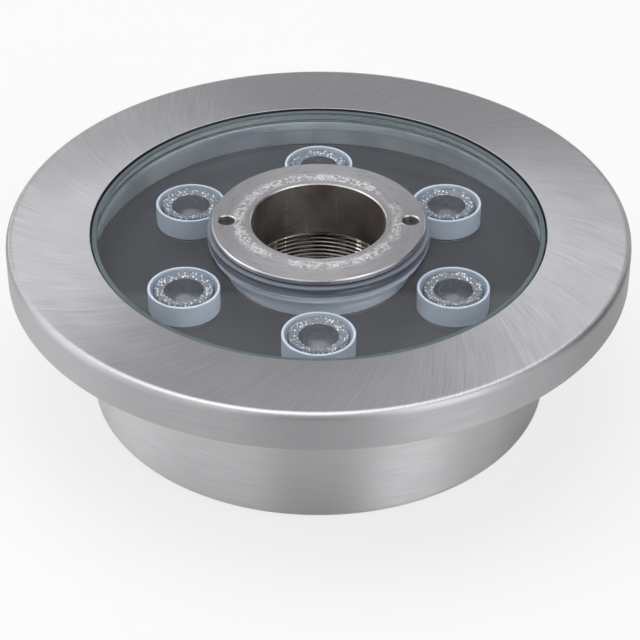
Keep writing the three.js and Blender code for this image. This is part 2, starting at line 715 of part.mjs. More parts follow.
const boardParts = [
  ['capacitor_1', capacitor, 'capacitorSleeve', 200],
  ['capacitor_2', capacitor, 'capacitorSleeve', 220],
  ['inductor', inductor, 'copper', 305],
  ['rectifier', () => chip(6.4, 5, 2.6, 2, 1.2), 'blackPlastic', 155],
  ['driver_chip', () => chip(5, 4, 1.6, 4, 0.5), 'blackPlastic', 270],
];
boardParts.forEach(([name, make, finish, degrees]) => {
  const [x, y] = onCircle(componentCircle, degrees);
  addPiece(name, make(), finish).position.set(x, y, 0);
});

const terminalPlace = onCircle(componentCircle, 60);
addPiece('terminal_block', terminalBlock(), 'terminalGreen').position.set(...terminalPlace, 0);

// The two leads that run from the terminal block up to the LED board's underside.
function leadWire(side) {
  const radius = 0.8;
  const [x, y] = [terminalPlace[0] + side * 2.55, terminalPlace[1]];
  const from = driverBoardTopHeight + 10 + CUT_CLEARANCE;
  const to = ledBoardBottomHeight - CUT_CLEARANCE;
  const route = new THREE.CatmullRomCurve3([
    new THREE.Vector3(x, y, from),
    new THREE.Vector3(x + side * 0.4, y - 1, from + (to - from) * 0.3),
    new THREE.Vector3(x + side * 1.6, y - 4, from + (to - from) * 0.6),
    new THREE.Vector3(x + side * 2, y - 5, to),
  ]);
  const section = new THREE.Shape();
  section.absarc(0, 0, radius, 0, Math.PI * 2);
  return closedShape(new THREE.ExtrudeGeometry(section, { extrudePath: route, steps: 8, curveSegments: 8 }));
}

addPiece('lead_wire_red', leadWire(-1), 'redWire');
addPiece('lead_wire_black', leadWire(1), 'blackWire');

// ---- cable gland ----

// Everything here is turned or cut along its own +Z, and the group lays it along the lamp's +Y.
const gland = new THREE.Group();
gland.rotation.x = -Math.PI / 2;
gland.position.z = glandHeight;
light.add(gland);

function glandBody() {
  const hex = hexPrism(GLAND_HEX_FLATS, glandHexFace, glandShoulder);
  const barrel = disc(GLAND_THREAD_RADIUS, glandTail, glandMouth, GLAND_FACETS);
  const bore = disc(GLAND_BORE_RADIUS, glandTail - 1, glandMouth + 1, SMALL_FACETS);
  const pocket = disc(bushPocketRadius, bushPocketEnd, glandMouth + 1, SMALL_FACETS);
  return cut(join(hex, barrel), bore, pocket);
}

function glandLockNut() {
  const hex = hexPrism(GLAND_NUT_FLATS, lockNutInnerFace, lockNutFace);
  return cut(hex, disc(glandHoleRadius, lockNutInnerFace - 1, lockNutFace + 1, GLAND_FACETS));
}

function glandBush() {
  const taper = 1;
  const outline = [
    [GLAND_BUSH_BORE_RADIUS, bushInnerEnd],
    [GLAND_BUSH_RADIUS - taper, bushInnerEnd],
    [GLAND_BUSH_RADIUS, bushInnerEnd + taper],
    [GLAND_BUSH_RADIUS, bushOuterEnd],
    [GLAND_BUSH_BORE_RADIUS, bushOuterEnd],
  ];
  return turned(outline, SMALL_FACETS);
}

function glandCapNut() {
  const hex = hexPrism(GLAND_CAP_FLATS, capInnerEnd, capOuterEnd);
  const domeRadius = GLAND_CAP_FLATS / Math.sqrt(3);
  const dome = turned([
    [0, capInnerEnd - 1],
    [domeRadius + 1, capInnerEnd - 1],
    [domeRadius + 1, capOuterEnd - 5],
    [domeRadius - 1.2, capOuterEnd - 2],
    [domeRadius - 4, capOuterEnd],
    [0, capOuterEnd],
  ], GLAND_FACETS);
  const shaped = toGeometry(toSolid(hex).intersect(toSolid(dome)));
  const threadRoom = disc(glandHoleRadius, capInnerEnd - 1, capEndWall, GLAND_FACETS);
  const cableHole = disc(GLAND_BORE_RADIUS, capEndWall - 1, capOuterEnd + 1, SMALL_FACETS);
  return cut(shaped, threadRoom, cableHole);
}

function glandSealRing() {
  const outerRadius = GLAND_BOSS_RADIUS - 1;
  return annulus(glandHoleRadius, outerRadius, sealFace, sealFace + GLAND_SEAL_THICKNESS, GLAND_FACETS);
}

function glandSlipRing() {
  const outerRadius = GLAND_THREAD_RADIUS - SLIDING_CLEARANCE;
  const outerFace = slipRingFace + GLAND_SLIP_THICKNESS;
  return annulus(GLAND_BORE_RADIUS, outerRadius, slipRingFace, outerFace, GLAND_FACETS);
}

addPiece('gland_body', glandBody(), 'turnedSteel', gland);
addPiece('gland_lock_nut', glandLockNut(), 'turnedSteel', gland);
addPiece('gland_seal_ring', glandSealRing(), 'blackWasher', gland);
addPiece('gland_bush', glandBush(), 'blackWasher', gland);
addPiece('gland_slip_ring', glandSlipRing(), 'blackPlastic', gland);
addPiece('gland_cap_nut', glandCapNut(), 'turnedSteel', gland);

export default light;
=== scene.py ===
"""Underwater pond light: brushed steel, glass, lenses and a plain studio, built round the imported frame."""
import math

import bmesh
import bpy
from mathutils import Matrix, Vector, noise


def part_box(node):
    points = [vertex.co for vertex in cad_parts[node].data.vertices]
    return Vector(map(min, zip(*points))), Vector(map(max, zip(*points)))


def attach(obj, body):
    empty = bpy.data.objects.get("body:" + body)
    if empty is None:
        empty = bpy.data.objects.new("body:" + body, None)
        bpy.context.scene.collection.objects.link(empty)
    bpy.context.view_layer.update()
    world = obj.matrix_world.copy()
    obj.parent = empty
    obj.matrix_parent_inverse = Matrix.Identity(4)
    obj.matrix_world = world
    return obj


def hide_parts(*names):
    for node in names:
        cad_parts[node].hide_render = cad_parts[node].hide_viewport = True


bl_info = {
    "name": "Underwater Pond Light",
    "version": (1, 0, 0),
    "blender": (4, 5, 0),
    "location": "3D View > Sidebar > Pond Light",
    "description": "Makes the visible pieces and finishes of a round stainless underwater light",
    "category": "Add Mesh",
}

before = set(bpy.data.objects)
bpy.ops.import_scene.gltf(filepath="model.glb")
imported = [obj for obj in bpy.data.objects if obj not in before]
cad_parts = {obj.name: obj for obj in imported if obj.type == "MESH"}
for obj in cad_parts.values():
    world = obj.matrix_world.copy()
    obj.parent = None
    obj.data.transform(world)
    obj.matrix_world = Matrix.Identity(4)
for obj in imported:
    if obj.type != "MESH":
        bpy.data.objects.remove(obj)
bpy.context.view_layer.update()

MM = 0.001
TURN = 2 * math.pi
SAME = 0.001 * MM
SMALL_ROUND = 96
ROUND = 192
FINE_ROUND = 256


# ---- places read from the frame ----

def lowest(node, axis):
    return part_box(node)[0][axis]


def highest(node, axis):
    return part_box(node)[1][axis]


X, Y, Z = 0, 1, 2
FACE_RADIUS = highest("face_ring", X)
FACE_TOP = highest("face_ring", Z)
SKIRT_BOTTOM = lowest("face_ring", Z)
FLANGE_RADIUS = highest("mounting_flange", X)
FLANGE_TOP = highest("mounting_flange", Z)
FLANGE_BOTTOM = lowest("mounting_flange", Z)
CUP_RADIUS = highest("housing_cup", X)
GLASS_RADIUS = highest("glass_disc", X)
GLASS_TOP = highest("glass_disc", Z)
GLASS_BOTTOM = lowest("glass_disc", Z)
GASKET_RADIUS = highest("outer_gasket", X)
GASKET_TOP = highest("outer_gasket", Z)
GASKET_BOTTOM = lowest("outer_gasket", Z)
INNER_GASKET_RADIUS = highest("inner_gasket", X)
SEAT_RADIUS = highest("seat_ring", X)
SEAT_BOTTOM = lowest("seat_ring", Z)
SEAT_TOP = highest("seat_ring", Z)
TUBE_SEAT_RADIUS = highest("centre_tube", X)
CLAMP_RADIUS = highest("clamp_ring", X)
CLAMP_TOP = highest("clamp_ring", Z)
NECK_BOTTOM = lowest("clamp_ring", Z)
WASHER_RADIUS = highest("slip_washer", X)
WASHER_TOP = highest("slip_washer", Z)
WASHER_BOTTOM = lowest("slip_washer", Z)
POTTING_RADIUS = highest("potting_fill", X)
POTTING_TOP = highest("potting_fill", Z)
POTTING_BOTTOM = lowest("potting_fill", Z)
GLAND_HOLE_RADIUS = 8.3 * MM
LAMPS = range(1, 7)
STANDOFFS = range(1, 4)


def centre_of(node):
    low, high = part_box(node)
    return (low + high) / 2


def span(node, axis):
    return lowest(node, axis), highest(node, axis)


def half_width(node):
    low, high = span(node, X)
    return (high - low) / 2


def hole_radius(node):
    """Radius of a ring-shaped node's hole."""
    return min(from_axis(vertex.co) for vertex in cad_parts[node].data.vertices)


def from_axis(point):
    return math.hypot(point.x, point.y)


# ---- settings ----

def length(label, about, default):
    return bpy.props.FloatProperty(name=label, description=about, default=default, unit="LENGTH", precision=5)


def number(label, about, default):
    return bpy.props.FloatProperty(name=label, description=about, default=default)


def share(label, about, default):
    return bpy.props.FloatProperty(
        name=label, description=about, default=default, subtype="FACTOR", min=0, max=1)


def colour(label, about, default):
    return bpy.props.FloatVectorProperty(
        name=label, description=about, default=default, subtype="COLOR", size=3, min=0, max=1)


class PondLightHousing(bpy.types.PropertyGroup):
    sheet: length("Face sheet", "Thickness of the face ring's sheet", 1.5 * MM)
    shoulder: length("Shoulder radius", "Outer radius of the bend between face and skirt", 2.1 * MM)
    aperture: length("Aperture radius", "Radius of the face ring's opening", 69.5 * MM)
    dish: length("Face dish", "How far the face falls towards its opening", 0.25 * MM)
    ripple: length("Sheet ripple", "Height of the slow waves left in the spun sheet", 0.05 * MM)
    wall: length("Cup wall", "Thickness of the cup's wall", 1.1 * MM)
    base: length("Cup base", "Thickness of the cup's base", 1.2 * MM)
    fillet: length("Cup fillet", "Outer radius between the cup's wall and base", 2.0 * MM)
    tube_radius: length("Tube radius", "Outer radius of the centre tube", 28.5 * MM)
    tube_seat: length("Tube seat", "Thickness of the tube's seat flange", 2.0 * MM)
    seat_width: length("Seat width", "Width of the ring that the glass sits on", 2.0 * MM)


class PondLightThread(bpy.types.PropertyGroup):
    pitch: length("Pitch", "Rise of the thread in one turn", 1.5 * MM)
    depth: length("Depth", "Depth of the thread from crest to root", 0.85 * MM)
    crest: length("Crest radius", "Radius of the internal thread's crests", 21.4 * MM)
    socket: length("Socket radius", "Radius of the bore round the clamp ring's neck", 22.2 * MM)
    bore: length("Plain bore", "Radius of the tube's plain bore below the thread", 21.2 * MM)
    turns: number("Turns", "Turns of thread below the neck", 7)


class PondLightClamp(bpy.types.PropertyGroup):
    bore: length("Clamp bore", "Radius of the clamp ring's bore", 20.6 * MM)
    neck: length("Neck radius", "Outer radius of the clamp ring's neck", 22.0 * MM)
    chamfer: length("Chamfer", "Width of the bright edges", 0.35 * MM)
    spanner_hole: length("Spanner hole radius", "Radius of each spanner hole", 2.5 * MM)
    spanner_circle: length("Spanner circle radius", "Radius at which the spanner holes lie", 28.0 * MM)


class PondLightOptics(bpy.types.PropertyGroup):
    lens: length("Lens radius", "Radius of a collimator lens", 9.9 * MM)
    flange: length("Lens flange", "Thickness of the lens's rim", 1.5 * MM)
    foot: length("Lens foot radius", "Radius of the lens at its foot", 3.4 * MM)
    well: length("Lens well radius", "Radius of the well over the LED", 2.6 * MM)
    bead: length("Bead pitch", "Spacing of the beads on the lens's face", 0.85 * MM)
    bead_height: length("Bead height", "Height of the beads on the lens's face", 0.2 * MM)
    dish: length("Lens dish", "How far the lens's middle lies below its edge", 0.75 * MM)
    middle: share("Lens middle", "Share of the lens's face that its flat middle takes up", 0.72)
    holder_wall: length("Holder wall", "Thickness of a lens holder's wall", 0.8 * MM)
    meniscus: length("Meniscus", "How far the potting creeps up what it touches", 0.7 * MM)


class PondLightFinishes(bpy.types.PropertyGroup):
    steel: colour("Steel", "Colour of the brushed steel", (0.54, 0.54, 0.555))
    skirt: colour("Skirt steel", "Colour of the brushed steel of the skirt", (0.47, 0.468, 0.482))
    # The cup's steel is set lighter than the skirt's: painted light against the face ring's shadow on the
    # cup.
    cup: colour("Cup steel", "Colour of the brushed steel of the cup", (0.68, 0.675, 0.69))
    inside: colour("Inner steel", "Colour of the dull steel inside the cup", (0.82, 0.89, 1.0))
    turned: colour("Turned steel", "Colour of the turned steel", (0.55, 0.545, 0.56))
    silicone: colour("Silicone", "Colour of the outer gasket", (0.11, 0.15, 0.165))
    potting: colour("Potting", "Colour of the cast resin", (0.018, 0.019, 0.027))
    holder: colour("Holder", "Colour of the frosted lens holders", (0.68, 0.74, 0.86))
    face_roughness: share("Face roughness", "Roughness of the brushed face", 0.42)
    side_roughness: share("Side roughness", "Roughness of the brushed cup and skirt", 0.46)


class PondLightStudio(bpy.types.PropertyGroup):
    lens: bpy.props.FloatProperty(
        name="Camera lens", description="Focal length", default=129.3, unit="CAMERA")
    distance: length("Camera distance", "How far in front of the lamp the camera stands", 586.1 * MM)
    height: length("Camera height", "How far above the face the camera stands", 385.1 * MM)
    tilt: bpy.props.FloatProperty(
        name="Camera tilt", description="Camera's angle from straight down",
        default=math.radians(54.29), unit="ROTATION")
    shift: number("Sideways shift", "Camera shift that centres the lamp as framed", 0.0022)
    overhead: number("Overhead power", "Power of the overhead softbox, in watts", 6.0)
    left: number("Left power", "Power of the left softbox, in watts", 3.2)
    right: number("Right power", "Power of the right softbox, in watts", 4.2)
    sky: number("Sky", "Strength of the light from all round", 0.62)
    floor_lift: share("Floor lift", "How far the floor's shadow is raised towards white", 0.72)
    card_behind: share("Card behind", "Tone of the grey card behind the light", 0.54)
    card_high: share("Card high", "Tone of the paler card above it", 0.9)
    card_front: share("Dark cards", "Tone of the dark cards in front and at the right", 0.12)


SETTING_GROUPS = {
    "pond_light_housing": PondLightHousing,
    "pond_light_thread": PondLightThread,
    "pond_light_clamp": PondLightClamp,
    "pond_light_optics": PondLightOptics,
    "pond_light_finishes": PondLightFinishes,
    "pond_light_studio": PondLightStudio,
}


def settings(group):
    return getattr(bpy.context.scene, "pond_light_" + group)


# ---- outlines and meshes ----

# Distance from a fillet's end to the extra point that keeps the flat beside it flat.
HOLD = 0.15 * MM


def rounded(corners, steps=5):
    """An outline whose corners, each (radius, height, fillet), are rounded off by their fillets.
    A point just outside each fillet keeps the flats beside it shading flat."""
    points = []
    count = len(corners)
    for i, (radius, height, fillet) in enumerate(corners):
        corner = Vector((radius, height))
        if not fillet:
            points.append(tuple(corner))
            continue
        before = (Vector(corners[i - 1][:2]) - corner).normalized()
        after = (Vector(corners[(i + 1) % count][:2]) - corner).normalized()
        half = before.angle(after) / 2
        centre = corner + (before + after).normalized() * fillet / math.sin(half)
        start = corner + before * fillet / math.tan(half) - centre
        end = corner + after * fillet / math.tan(half) - centre
        sweep = start.angle_signed(end)
        hold = min(HOLD, fillet)
        points.append(tuple(centre + start + before * hold))
        for step in range(steps + 1):
            angle = -sweep * step / steps
            turned = Vector((
                start.x * math.cos(angle) - start.y * math.sin(angle),
                start.x * math.sin(angle) + start.y * math.cos(angle)))
            points.append(tuple(centre + turned))
        points.append(tuple(centre + end + after * hold))
    return points


def spaced(points, gap):
    """The same closed outline with extra points, so that none of its edges is longer than gap."""
    result = []
    for i, (radius, height) in enumerate(points):
        start = Vector((radius, height))
        end = Vector(points[(i + 1) % len(points)])
        parts = max(1, math.ceil((end - start).length / gap))
        result += [tuple(start.lerp(end, part / parts)) for part in range(parts)]
    return result


def object_from(name, verts, faces):
    mesh = bpy.data.meshes.new(name)
    mesh.from_pydata(verts, [], faces)
    cleaned = bmesh.new()
    cleaned.from_mesh(mesh)
    bmesh.ops.remove_doubles(cleaned, verts=cleaned.verts, dist=1e-7)
    bmesh.ops.recalc_face_normals(cleaned, faces=cleaned.faces)
    cleaned.to_mesh(mesh)
    cleaned.free()
    obj = bpy.data.objects.new(name, mesh)
    bpy.context.scene.collection.objects.link(obj)
    return obj


def smooth(obj, degrees=32):
    obj.data.polygons.foreach_set("use_smooth", [True] * len(obj.data.polygons))
    obj.data.set_sharp_from_angle(angle=math.radians(degrees))
    return obj


def revolved(name, outline, segments=ROUND, shape=None):
    """A body turned about Z from a closed outline, or from one that starts and ends on the axis.
    shape may move a point: it takes and returns (radius, height), given the angle too."""
    on_axis = outline[0][0] == 0 and outline[-1][0] == 0
    rows = len(outline)
    verts = []
    for i in range(segments):
        angle = TURN * i / segments
        for radius, height in outline:
            if shape and radius > 0:
                radius, height = shape(radius, height, angle)
            verts.append((radius * math.cos(angle), radius * math.sin(angle), height))
    faces = []
    for i in range(segments):
        here = i * rows
        there = (i + 1) % segments * rows
        for j in range(rows - 1 if on_axis else rows):
            k = (j + 1) % rows
            faces.append((here + j, there + j, there + k, here + k))
    if not on_axis:
        return smooth(object_from(name, verts, faces))
    trimmed = []
    for face in faces:
        loop = [v if outline[v % rows][0] > 0 else v % rows for v in face]
        trimmed.append(tuple(dict.fromkeys(loop)))
    return smooth(object_from(name, verts, [f for f in trimmed if len(f) > 2]))


def prism(name, flats, bottom, top, chamfer):
    """A hexagonal bar along Z, with the corners of its two ends turned down."""
    corner = flats / math.sqrt(3)
    hexagon = [(corner * math.cos(TURN * i / 6), corner * math.sin(TURN * i / 6)) for i in range(6)]
    verts = [(x, y, z) for z in (bottom, top) for x, y in hexagon]
    faces = [tuple(range(6)), tuple(range(6, 12))]
    faces += [(i, (i + 1) % 6, 6 + (i + 1) % 6, 6 + i) for i in range(6)]
    bar = object_from(name, verts, faces)
    if chamfer:
        inner = flats / 2
        turn = revolved(name + "_turn", [
            (0, bottom - MM), (inner - chamfer, bottom - MM), (inner + chamfer, bottom + chamfer),
            (corner + MM, bottom + 2.2 * chamfer), (corner + MM, top - 2.2 * chamfer),
            (inner + chamfer, top - chamfer), (inner - chamfer, top + MM), (0, top + MM)], SMALL_ROUND)
        combine(bar, [turn], "INTERSECT")
    return bar


def combine(target, others, operation="DIFFERENCE"):
    """Cuts, joins or intersects target with the others, which are then removed."""
    for other in others:
        step = target.modifiers.new(other.name, "BOOLEAN")
        step.operation = operation
        step.solver = "EXACT"
        step.object = other
    bpy.context.view_layer.update()
    graph = bpy.context.evaluated_depsgraph_get()
    result = bpy.data.meshes.new_from_object(target.evaluated_get(graph))
    target.modifiers.clear()
    old = target.data
    target.data = result
    bpy.data.meshes.remove(old)
    for other in others:
        bpy.data.objects.remove(other)
    return smooth(target)


def cylinder(name, radius, bottom, top, segments=64):
    return revolved(name, [(0, bottom), (radius, bottom), (radius, top), (0, top)], segments)


def band(name, inner, outer, bottom, top, inner_fillet, outer_fillet, steps=3, segments=ROUND):
    """A flat ring with rounded edges."""
    outline = rounded([
        (inner, bottom, inner_fillet), (outer, bottom, outer_fillet),
        (outer, top, outer_fillet), (inner, top, inner_fillet)], steps)
    return revolved(name, outline, segments)


def moved(obj, place):
    """Shifts a piece that was made on the axis so that it stands over a place."""
    obj.data.transform(Matrix.Translation((place[0], place[1], 0)))
    return obj


# ---- node trees ----

class Tree:
    """A node tree with short calls: a number or colour sets a socket, and a socket is linked to it."""

    def __init__(self, tree):
        self.tree = tree
        self.tree.nodes.clear()

    def node(self, kind, sockets=None, **options):
        node = self.tree.nodes.new("ShaderNode" + kind)
        for key, value in options.items():
            setattr(node, key, value)
        for key, value in (sockets or {}).items():
            if isinstance(value, bpy.types.NodeSocket):
                self.tree.links.new(value, node.inputs[key])
            else:
                node.inputs[key].default_value = value
        return node

    def math(self, operation, *values, clamp=False):
        node = self.node("Math", dict(enumerate(values)), operation=operation)
        node.use_clamp = clamp
        return node.outputs[0]

    def vector(self, operation, *values):
        node = self.node("VectorMath", dict(enumerate(values)), operation=operation)
        return node.outputs["Value" if operation in ("LENGTH", "DOT_PRODUCT") else "Vector"]

    def scaled(self, vector, factor):
        node = self.node("VectorMath", {0: vector}, operation="SCALE")
        self.feed(node.inputs["Scale"], factor)
        return node.outputs[0]

    def ranged(self, value, low, high, to_low=0.0, to_high=1.0, smooth_step=True):
        node = self.node("MapRange", {0: value, 1: low, 2: high, 3: to_low, 4: to_high})
        node.interpolation_type = "SMOOTHSTEP" if smooth_step else "LINEAR"
        return node.outputs[0]

    def mixed(self, factor, first, second):
        node = self.node("Mix", data_type="RGBA")
        self.feed(node.inputs[0], factor)
        self.feed(node.inputs[6], first)
        self.feed(node.inputs[7], second)
        return node.outputs[2]

    def feed(self, socket, value):
        if isinstance(value, bpy.types.NodeSocket):
            self.tree.links.new(value, socket)
        elif isinstance(value, (tuple, list)) and len(value) == 3:
            socket.default_value = (*value, 1)
        else:
            socket.default_value = value

    def noise(self, vector, scale, detail=2.0, roughness=0.5):
        sockets = {"Vector": vector, "Scale": scale, "Detail": detail, "Roughness": roughness}
        return self.node("TexNoise", sockets).outputs["Fac"]

    def point(self):
        return self.node("TexCoord").outputs["Object"]


def effect(name, inputs, outputs, build):
    """A shader node group. Besides a point it takes numbers, each (name, default), and gives numbers."""
    group = bpy.data.node_groups.new(name, "ShaderNodeTree")
    tree = Tree(group)
    group.interface.new_socket("Point", in_out="INPUT", socket_type="NodeSocketVector")
    for label, default in inputs:
        socket = group.interface.new_socket(label, in_out="INPUT", socket_type="NodeSocketFloat")
        socket.default_value = default
    for label in outputs:
        group.interface.new_socket(label, in_out="OUTPUT", socket_type="NodeSocketFloat")
    entry = group.nodes.new("NodeGroupInput")
    leave = group.nodes.new("NodeGroupOutput")
    for label, value in zip(outputs, build(tree, entry.outputs)):
        group.links.new(value, leave.inputs[label])
    return group


def ring_grain(tree, given):
    """Brushing that runs round the axis: long streaks along each circle, fine across it."""
    flat = tree.vector("MULTIPLY", given["Point"], (1, 1, 0))
    radius = tree.vector("LENGTH", flat)
    around = tree.vector("NORMALIZE", flat)
    height = tree.node("SeparateXYZ", {0: given["Point"]}).outputs[2]
    across = tree.math("MULTIPLY", tree.math("ADD", radius, height), given["Fineness"])
    lifted = tree.node("CombineXYZ", {2: across}).outputs[0]
    place = tree.vector("ADD", tree.scaled(around, given["Breaks"]), lifted)
    grain = tree.noise(place, 1.0, 4.0, 0.62)
    return [grain]


def spoke_grain(tree, given):
    """Brushing that runs outwards, a little swept: fine round the circle, long along each spoke."""
    flat = tree.vector("MULTIPLY", given["Point"], (1, 1, 0))
    radius = tree.vector("LENGTH", flat)
    around = tree.vector("NORMALIZE", flat)
    turn = tree.math("MULTIPLY", radius, given["Sweep"])
    swept = tree.node("VectorRotate", {"Vector": around, "Angle": turn}, rotation_type="Z_AXIS")
    out = tree.math("MULTIPLY", radius, given["Breaks"])
    lifted = tree.node("CombineXYZ", {2: out}).outputs[0]
    place = tree.vector("ADD", tree.scaled(swept.outputs[0], given["Fineness"]), lifted)
    grain = tree.noise(place, 1.0, 4.0, 0.6)
    return [grain]


def scattered_nicks(tree, given):
    """Small separate nicks and specks: 1 on a nick, 0 off it."""
    wander = tree.noise(given["Point"], 900.0, 1.0)
    cells = tree.node("TexVoronoi", {"Vector": given["Point"], "Scale": given["Density"]})
    near = tree.math("ADD", cells.outputs["Distance"], tree.math("MULTIPLY", wander, 0.12))
    spot = tree.ranged(near, given["Size"], tree.math("MULTIPLY", given["Size"], 0.5))
    picked = tree.node("SeparateXYZ", {0: cells.outputs["Color"]}).outputs[0]
    chosen = tree.ranged(picked, tree.math("SUBTRACT", 1.0, given["Amount"]), 1.0, 0.0, 1.0)
    return [tree.math("MULTIPLY", spot, tree.math("GREATER_THAN", chosen, 0.001))]


def slow_clouds(tree, given):
    """A slow change from place to place, for colour and polish that vary across a surface."""
    return [tree.noise(given["Point"], given["Scale"], 3.0, 0.55)]


EFFECTS = {
    "ring_grain": ([("Fineness", 6000.0), ("Breaks", 3.0)], ["Grain"], ring_grain),
    "spoke_grain": ([("Fineness", 260.0), ("Breaks", 60.0), ("Sweep", 6.0)], ["Grain"], spoke_grain),
    "scattered_nicks": ([("Density", 120.0), ("Size", 0.12), ("Amount", 0.15)], ["Mask"], scattered_nicks),
    "slow_clouds": ([("Scale", 30.0)], ["Cloud"], slow_clouds),
}


def use_effect(tree, name, point, **values):
    """Places one of the shared effects in a material, and gives its first output."""
    group = bpy.data.node_groups.get(name) or effect(name, *EFFECTS[name])
    node = tree.node("Group")
    node.node_tree = group
    tree.feed(node.inputs["Point"], point)
    for label, value in values.items():
        node.inputs[label].default_value = value
    return node.outputs[0]


def new_material(name):
    material = bpy.data.materials.new(name)
    material.use_nodes = True
    return material, Tree(material.node_tree)


def finish_with(tree, shader, volume=None):
    output = tree.node("OutputMaterial")
    tree.feed(output.inputs["Surface"], shader)
    if volume:
        tree.feed(output.inputs["Volume"], volume)


def bumped(tree, height, distance):
    return tree.node("Bump", {"Height": height, "Distance": distance, "Strength": 1.0}).outputs[0]


def toned(colour, factor):
    """A colour made lighter or darker by a factor."""
    return tuple(min(1, channel * factor) for channel in colour)


# ---- materials ----

def brushed_steel(name, base, grain_name, grain_values, roughness, streak, rotation=0.0, anisotropic=0.0):
    """Brushed stainless steel: streaks in colour, polish and surface, slow clouds and a few bright nicks."""
    material, tree = new_material(name)
    point = tree.point()
    grain = use_effect(tree, grain_name, point, **grain_values)
    cloud = use_effect(tree, "slow_clouds", point, Scale=22.0)
    nicks = use_effect(tree, "scattered_nicks", point, Density=95.0, Size=0.07, Amount=0.05)
    streaked = tree.mixed(tree.ranged(grain, 0.3, 0.7), toned(base, 1 - streak), toned(base, 1 + streak))
    clouded = tree.mixed(tree.ranged(cloud, 0.35, 0.7, 0.0, 0.35), streaked, toned(base, 0.9))
    nicked = tree.mixed(tree.math("MULTIPLY", nicks, 0.6), clouded, (0.86, 0.86, 0.86))
    rough = tree.ranged(grain, 0.25, 0.75, roughness - 0.05, roughness + 0.07)
    polish = tree.math("SUBTRACT", rough, tree.math("MULTIPLY", cloud, 0.05))
    height = tree.math("SUBTRACT", grain, tree.math("MULTIPLY", nicks, 1.5))
    tangent = tree.node("Tangent", direction_type="RADIAL", axis="Z").outputs[0]
    shader = tree.node("BsdfPrincipled", {
        "Base Color": nicked, "Metallic": 1.0, "Roughness": polish, "Normal": bumped(tree, height, 0.00002),
        "Anisotropic": anisotropic, "Anisotropic Rotation": rotation, "Tangent": tangent})
    finish_with(tree, shader.outputs[0])
    return material


def face_steel():
    """The face, brushed outwards."""
    values = {"Fineness": 300.0, "Breaks": 70.0, "Sweep": 7.0}
    finishes = settings("finishes")
    return brushed_steel(
        "face_steel", finishes.steel, "spoke_grain", values, finishes.face_roughness,
        streak=0.13, anisotropic=0.8)


def ring_brushed(name, base):
    """Steel brushed round the axis."""
    values = {"Fineness": 3200.0, "Breaks": 5.0}
    return brushed_steel(
        name, base, "ring_grain", values, settings("finishes").side_roughness,
        streak=0.08, rotation=0.25, anisotropic=0.9)


def side_steel():
    return ring_brushed("side_steel", settings("finishes").skirt)


# Painted light: the cup's steel is lighter than the skirt's to cancel the face ring's shadow on it.
def cup_steel():
    return ring_brushed("cup_steel", settings("finishes").cup)


def gland_steel():
    values = {"Fineness": 2500.0, "Breaks": 60.0}
    return brushed_steel("gland_steel", settings("finishes").turned, "ring_grain", values, 0.3, streak=0.05)


def clamp_steel():
    """Turned steel of the clamp ring. Its flange is scuffed, and its bore has stains, specks and runs."""
    material, tree = new_material("clamp_steel")
    point = tree.point()
    grain = use_effect(tree, "ring_grain", point, Fineness=3600.0, Breaks=4.0)
    flat = tree.vector("MULTIPLY", point, (1, 1, 0))
    radius = tree.vector("LENGTH", flat)
    height_up = tree.node("SeparateXYZ", {0: point}).outputs[2]
    on_top = tree.ranged(height_up, CLAMP_TOP - 0.5 * MM, CLAMP_TOP - 0.3 * MM)
    wear_starts, wear_full = 22.0 * MM, 23.5 * MM
    wear_fades, wear_ends = 25.0 * MM, 27.5 * MM
    worn_inner = tree.ranged(radius, wear_starts, wear_full)
    worn_outer = tree.ranged(radius, wear_ends, wear_fades)
    wander = tree.noise(point, 420.0, 5.0, 0.75)
    patches = tree.ranged(tree.math("ABSOLUTE", tree.math("SUBTRACT", wander, 0.5)), 0.035, 0.012)
    sectors = tree.ranged(tree.noise(point, 60.0, 1.0), 0.36, 0.5)
    worn_ring = tree.math("MULTIPLY", worn_inner, worn_outer)
    worn = tree.math("MULTIPLY", worn_ring, tree.math("MULTIPLY", patches, sectors))
    worn = tree.math("MULTIPLY", worn, on_top)
    base = settings("finishes").turned
    streaked = tree.mixed(tree.ranged(grain, 0.3, 0.7), toned(base, 0.9), toned(base, 1.08))
    bore = settings("clamp").bore
    in_bore = tree.ranged(radius, bore + 0.5 * MM, bore + 0.1 * MM)
    stain = tree.ranged(tree.noise(point, 70.0, 2.0), 0.4, 0.6)
    stains = tree.mixed(stain, (0.5, 0.44, 0.41), (0.66, 0.63, 0.6))
    inner = tree.mixed(in_bore, streaked, stains)
    specks = use_effect(tree, "scattered_nicks", point, Density=330.0, Size=0.2, Amount=0.14)
    runs = tree.noise(tree.vector("MULTIPLY", point, (1, 1, 0.08)), 520.0, 2.0)
    marks = tree.math("MULTIPLY", tree.math("MAXIMUM", specks, tree.ranged(runs, 0.66, 0.72)), in_bore)
    scuffed = tree.mixed(tree.math("MAXIMUM", worn, marks), inner, (0.92, 0.92, 0.93))
    rough = tree.math("ADD", tree.ranged(grain, 0.25, 0.75, 0.26, 0.36), tree.math("MULTIPLY", worn, 0.2))
    relief = tree.math("ADD", grain, tree.math("MULTIPLY", worn, 3.0))
    tangent = tree.node("Tangent", direction_type="RADIAL", axis="Z").outputs[0]
    shader = tree.node("BsdfPrincipled", {
        "Base Color": scuffed, "Metallic": 1.0, "Roughness": rough, "Normal": bumped(tree, relief, 0.000012),
        "Anisotropic": 0.5, "Anisotropic Rotation": 0.25, "Tangent": tangent})
    finish_with(tree, shader.outputs[0])
    return material


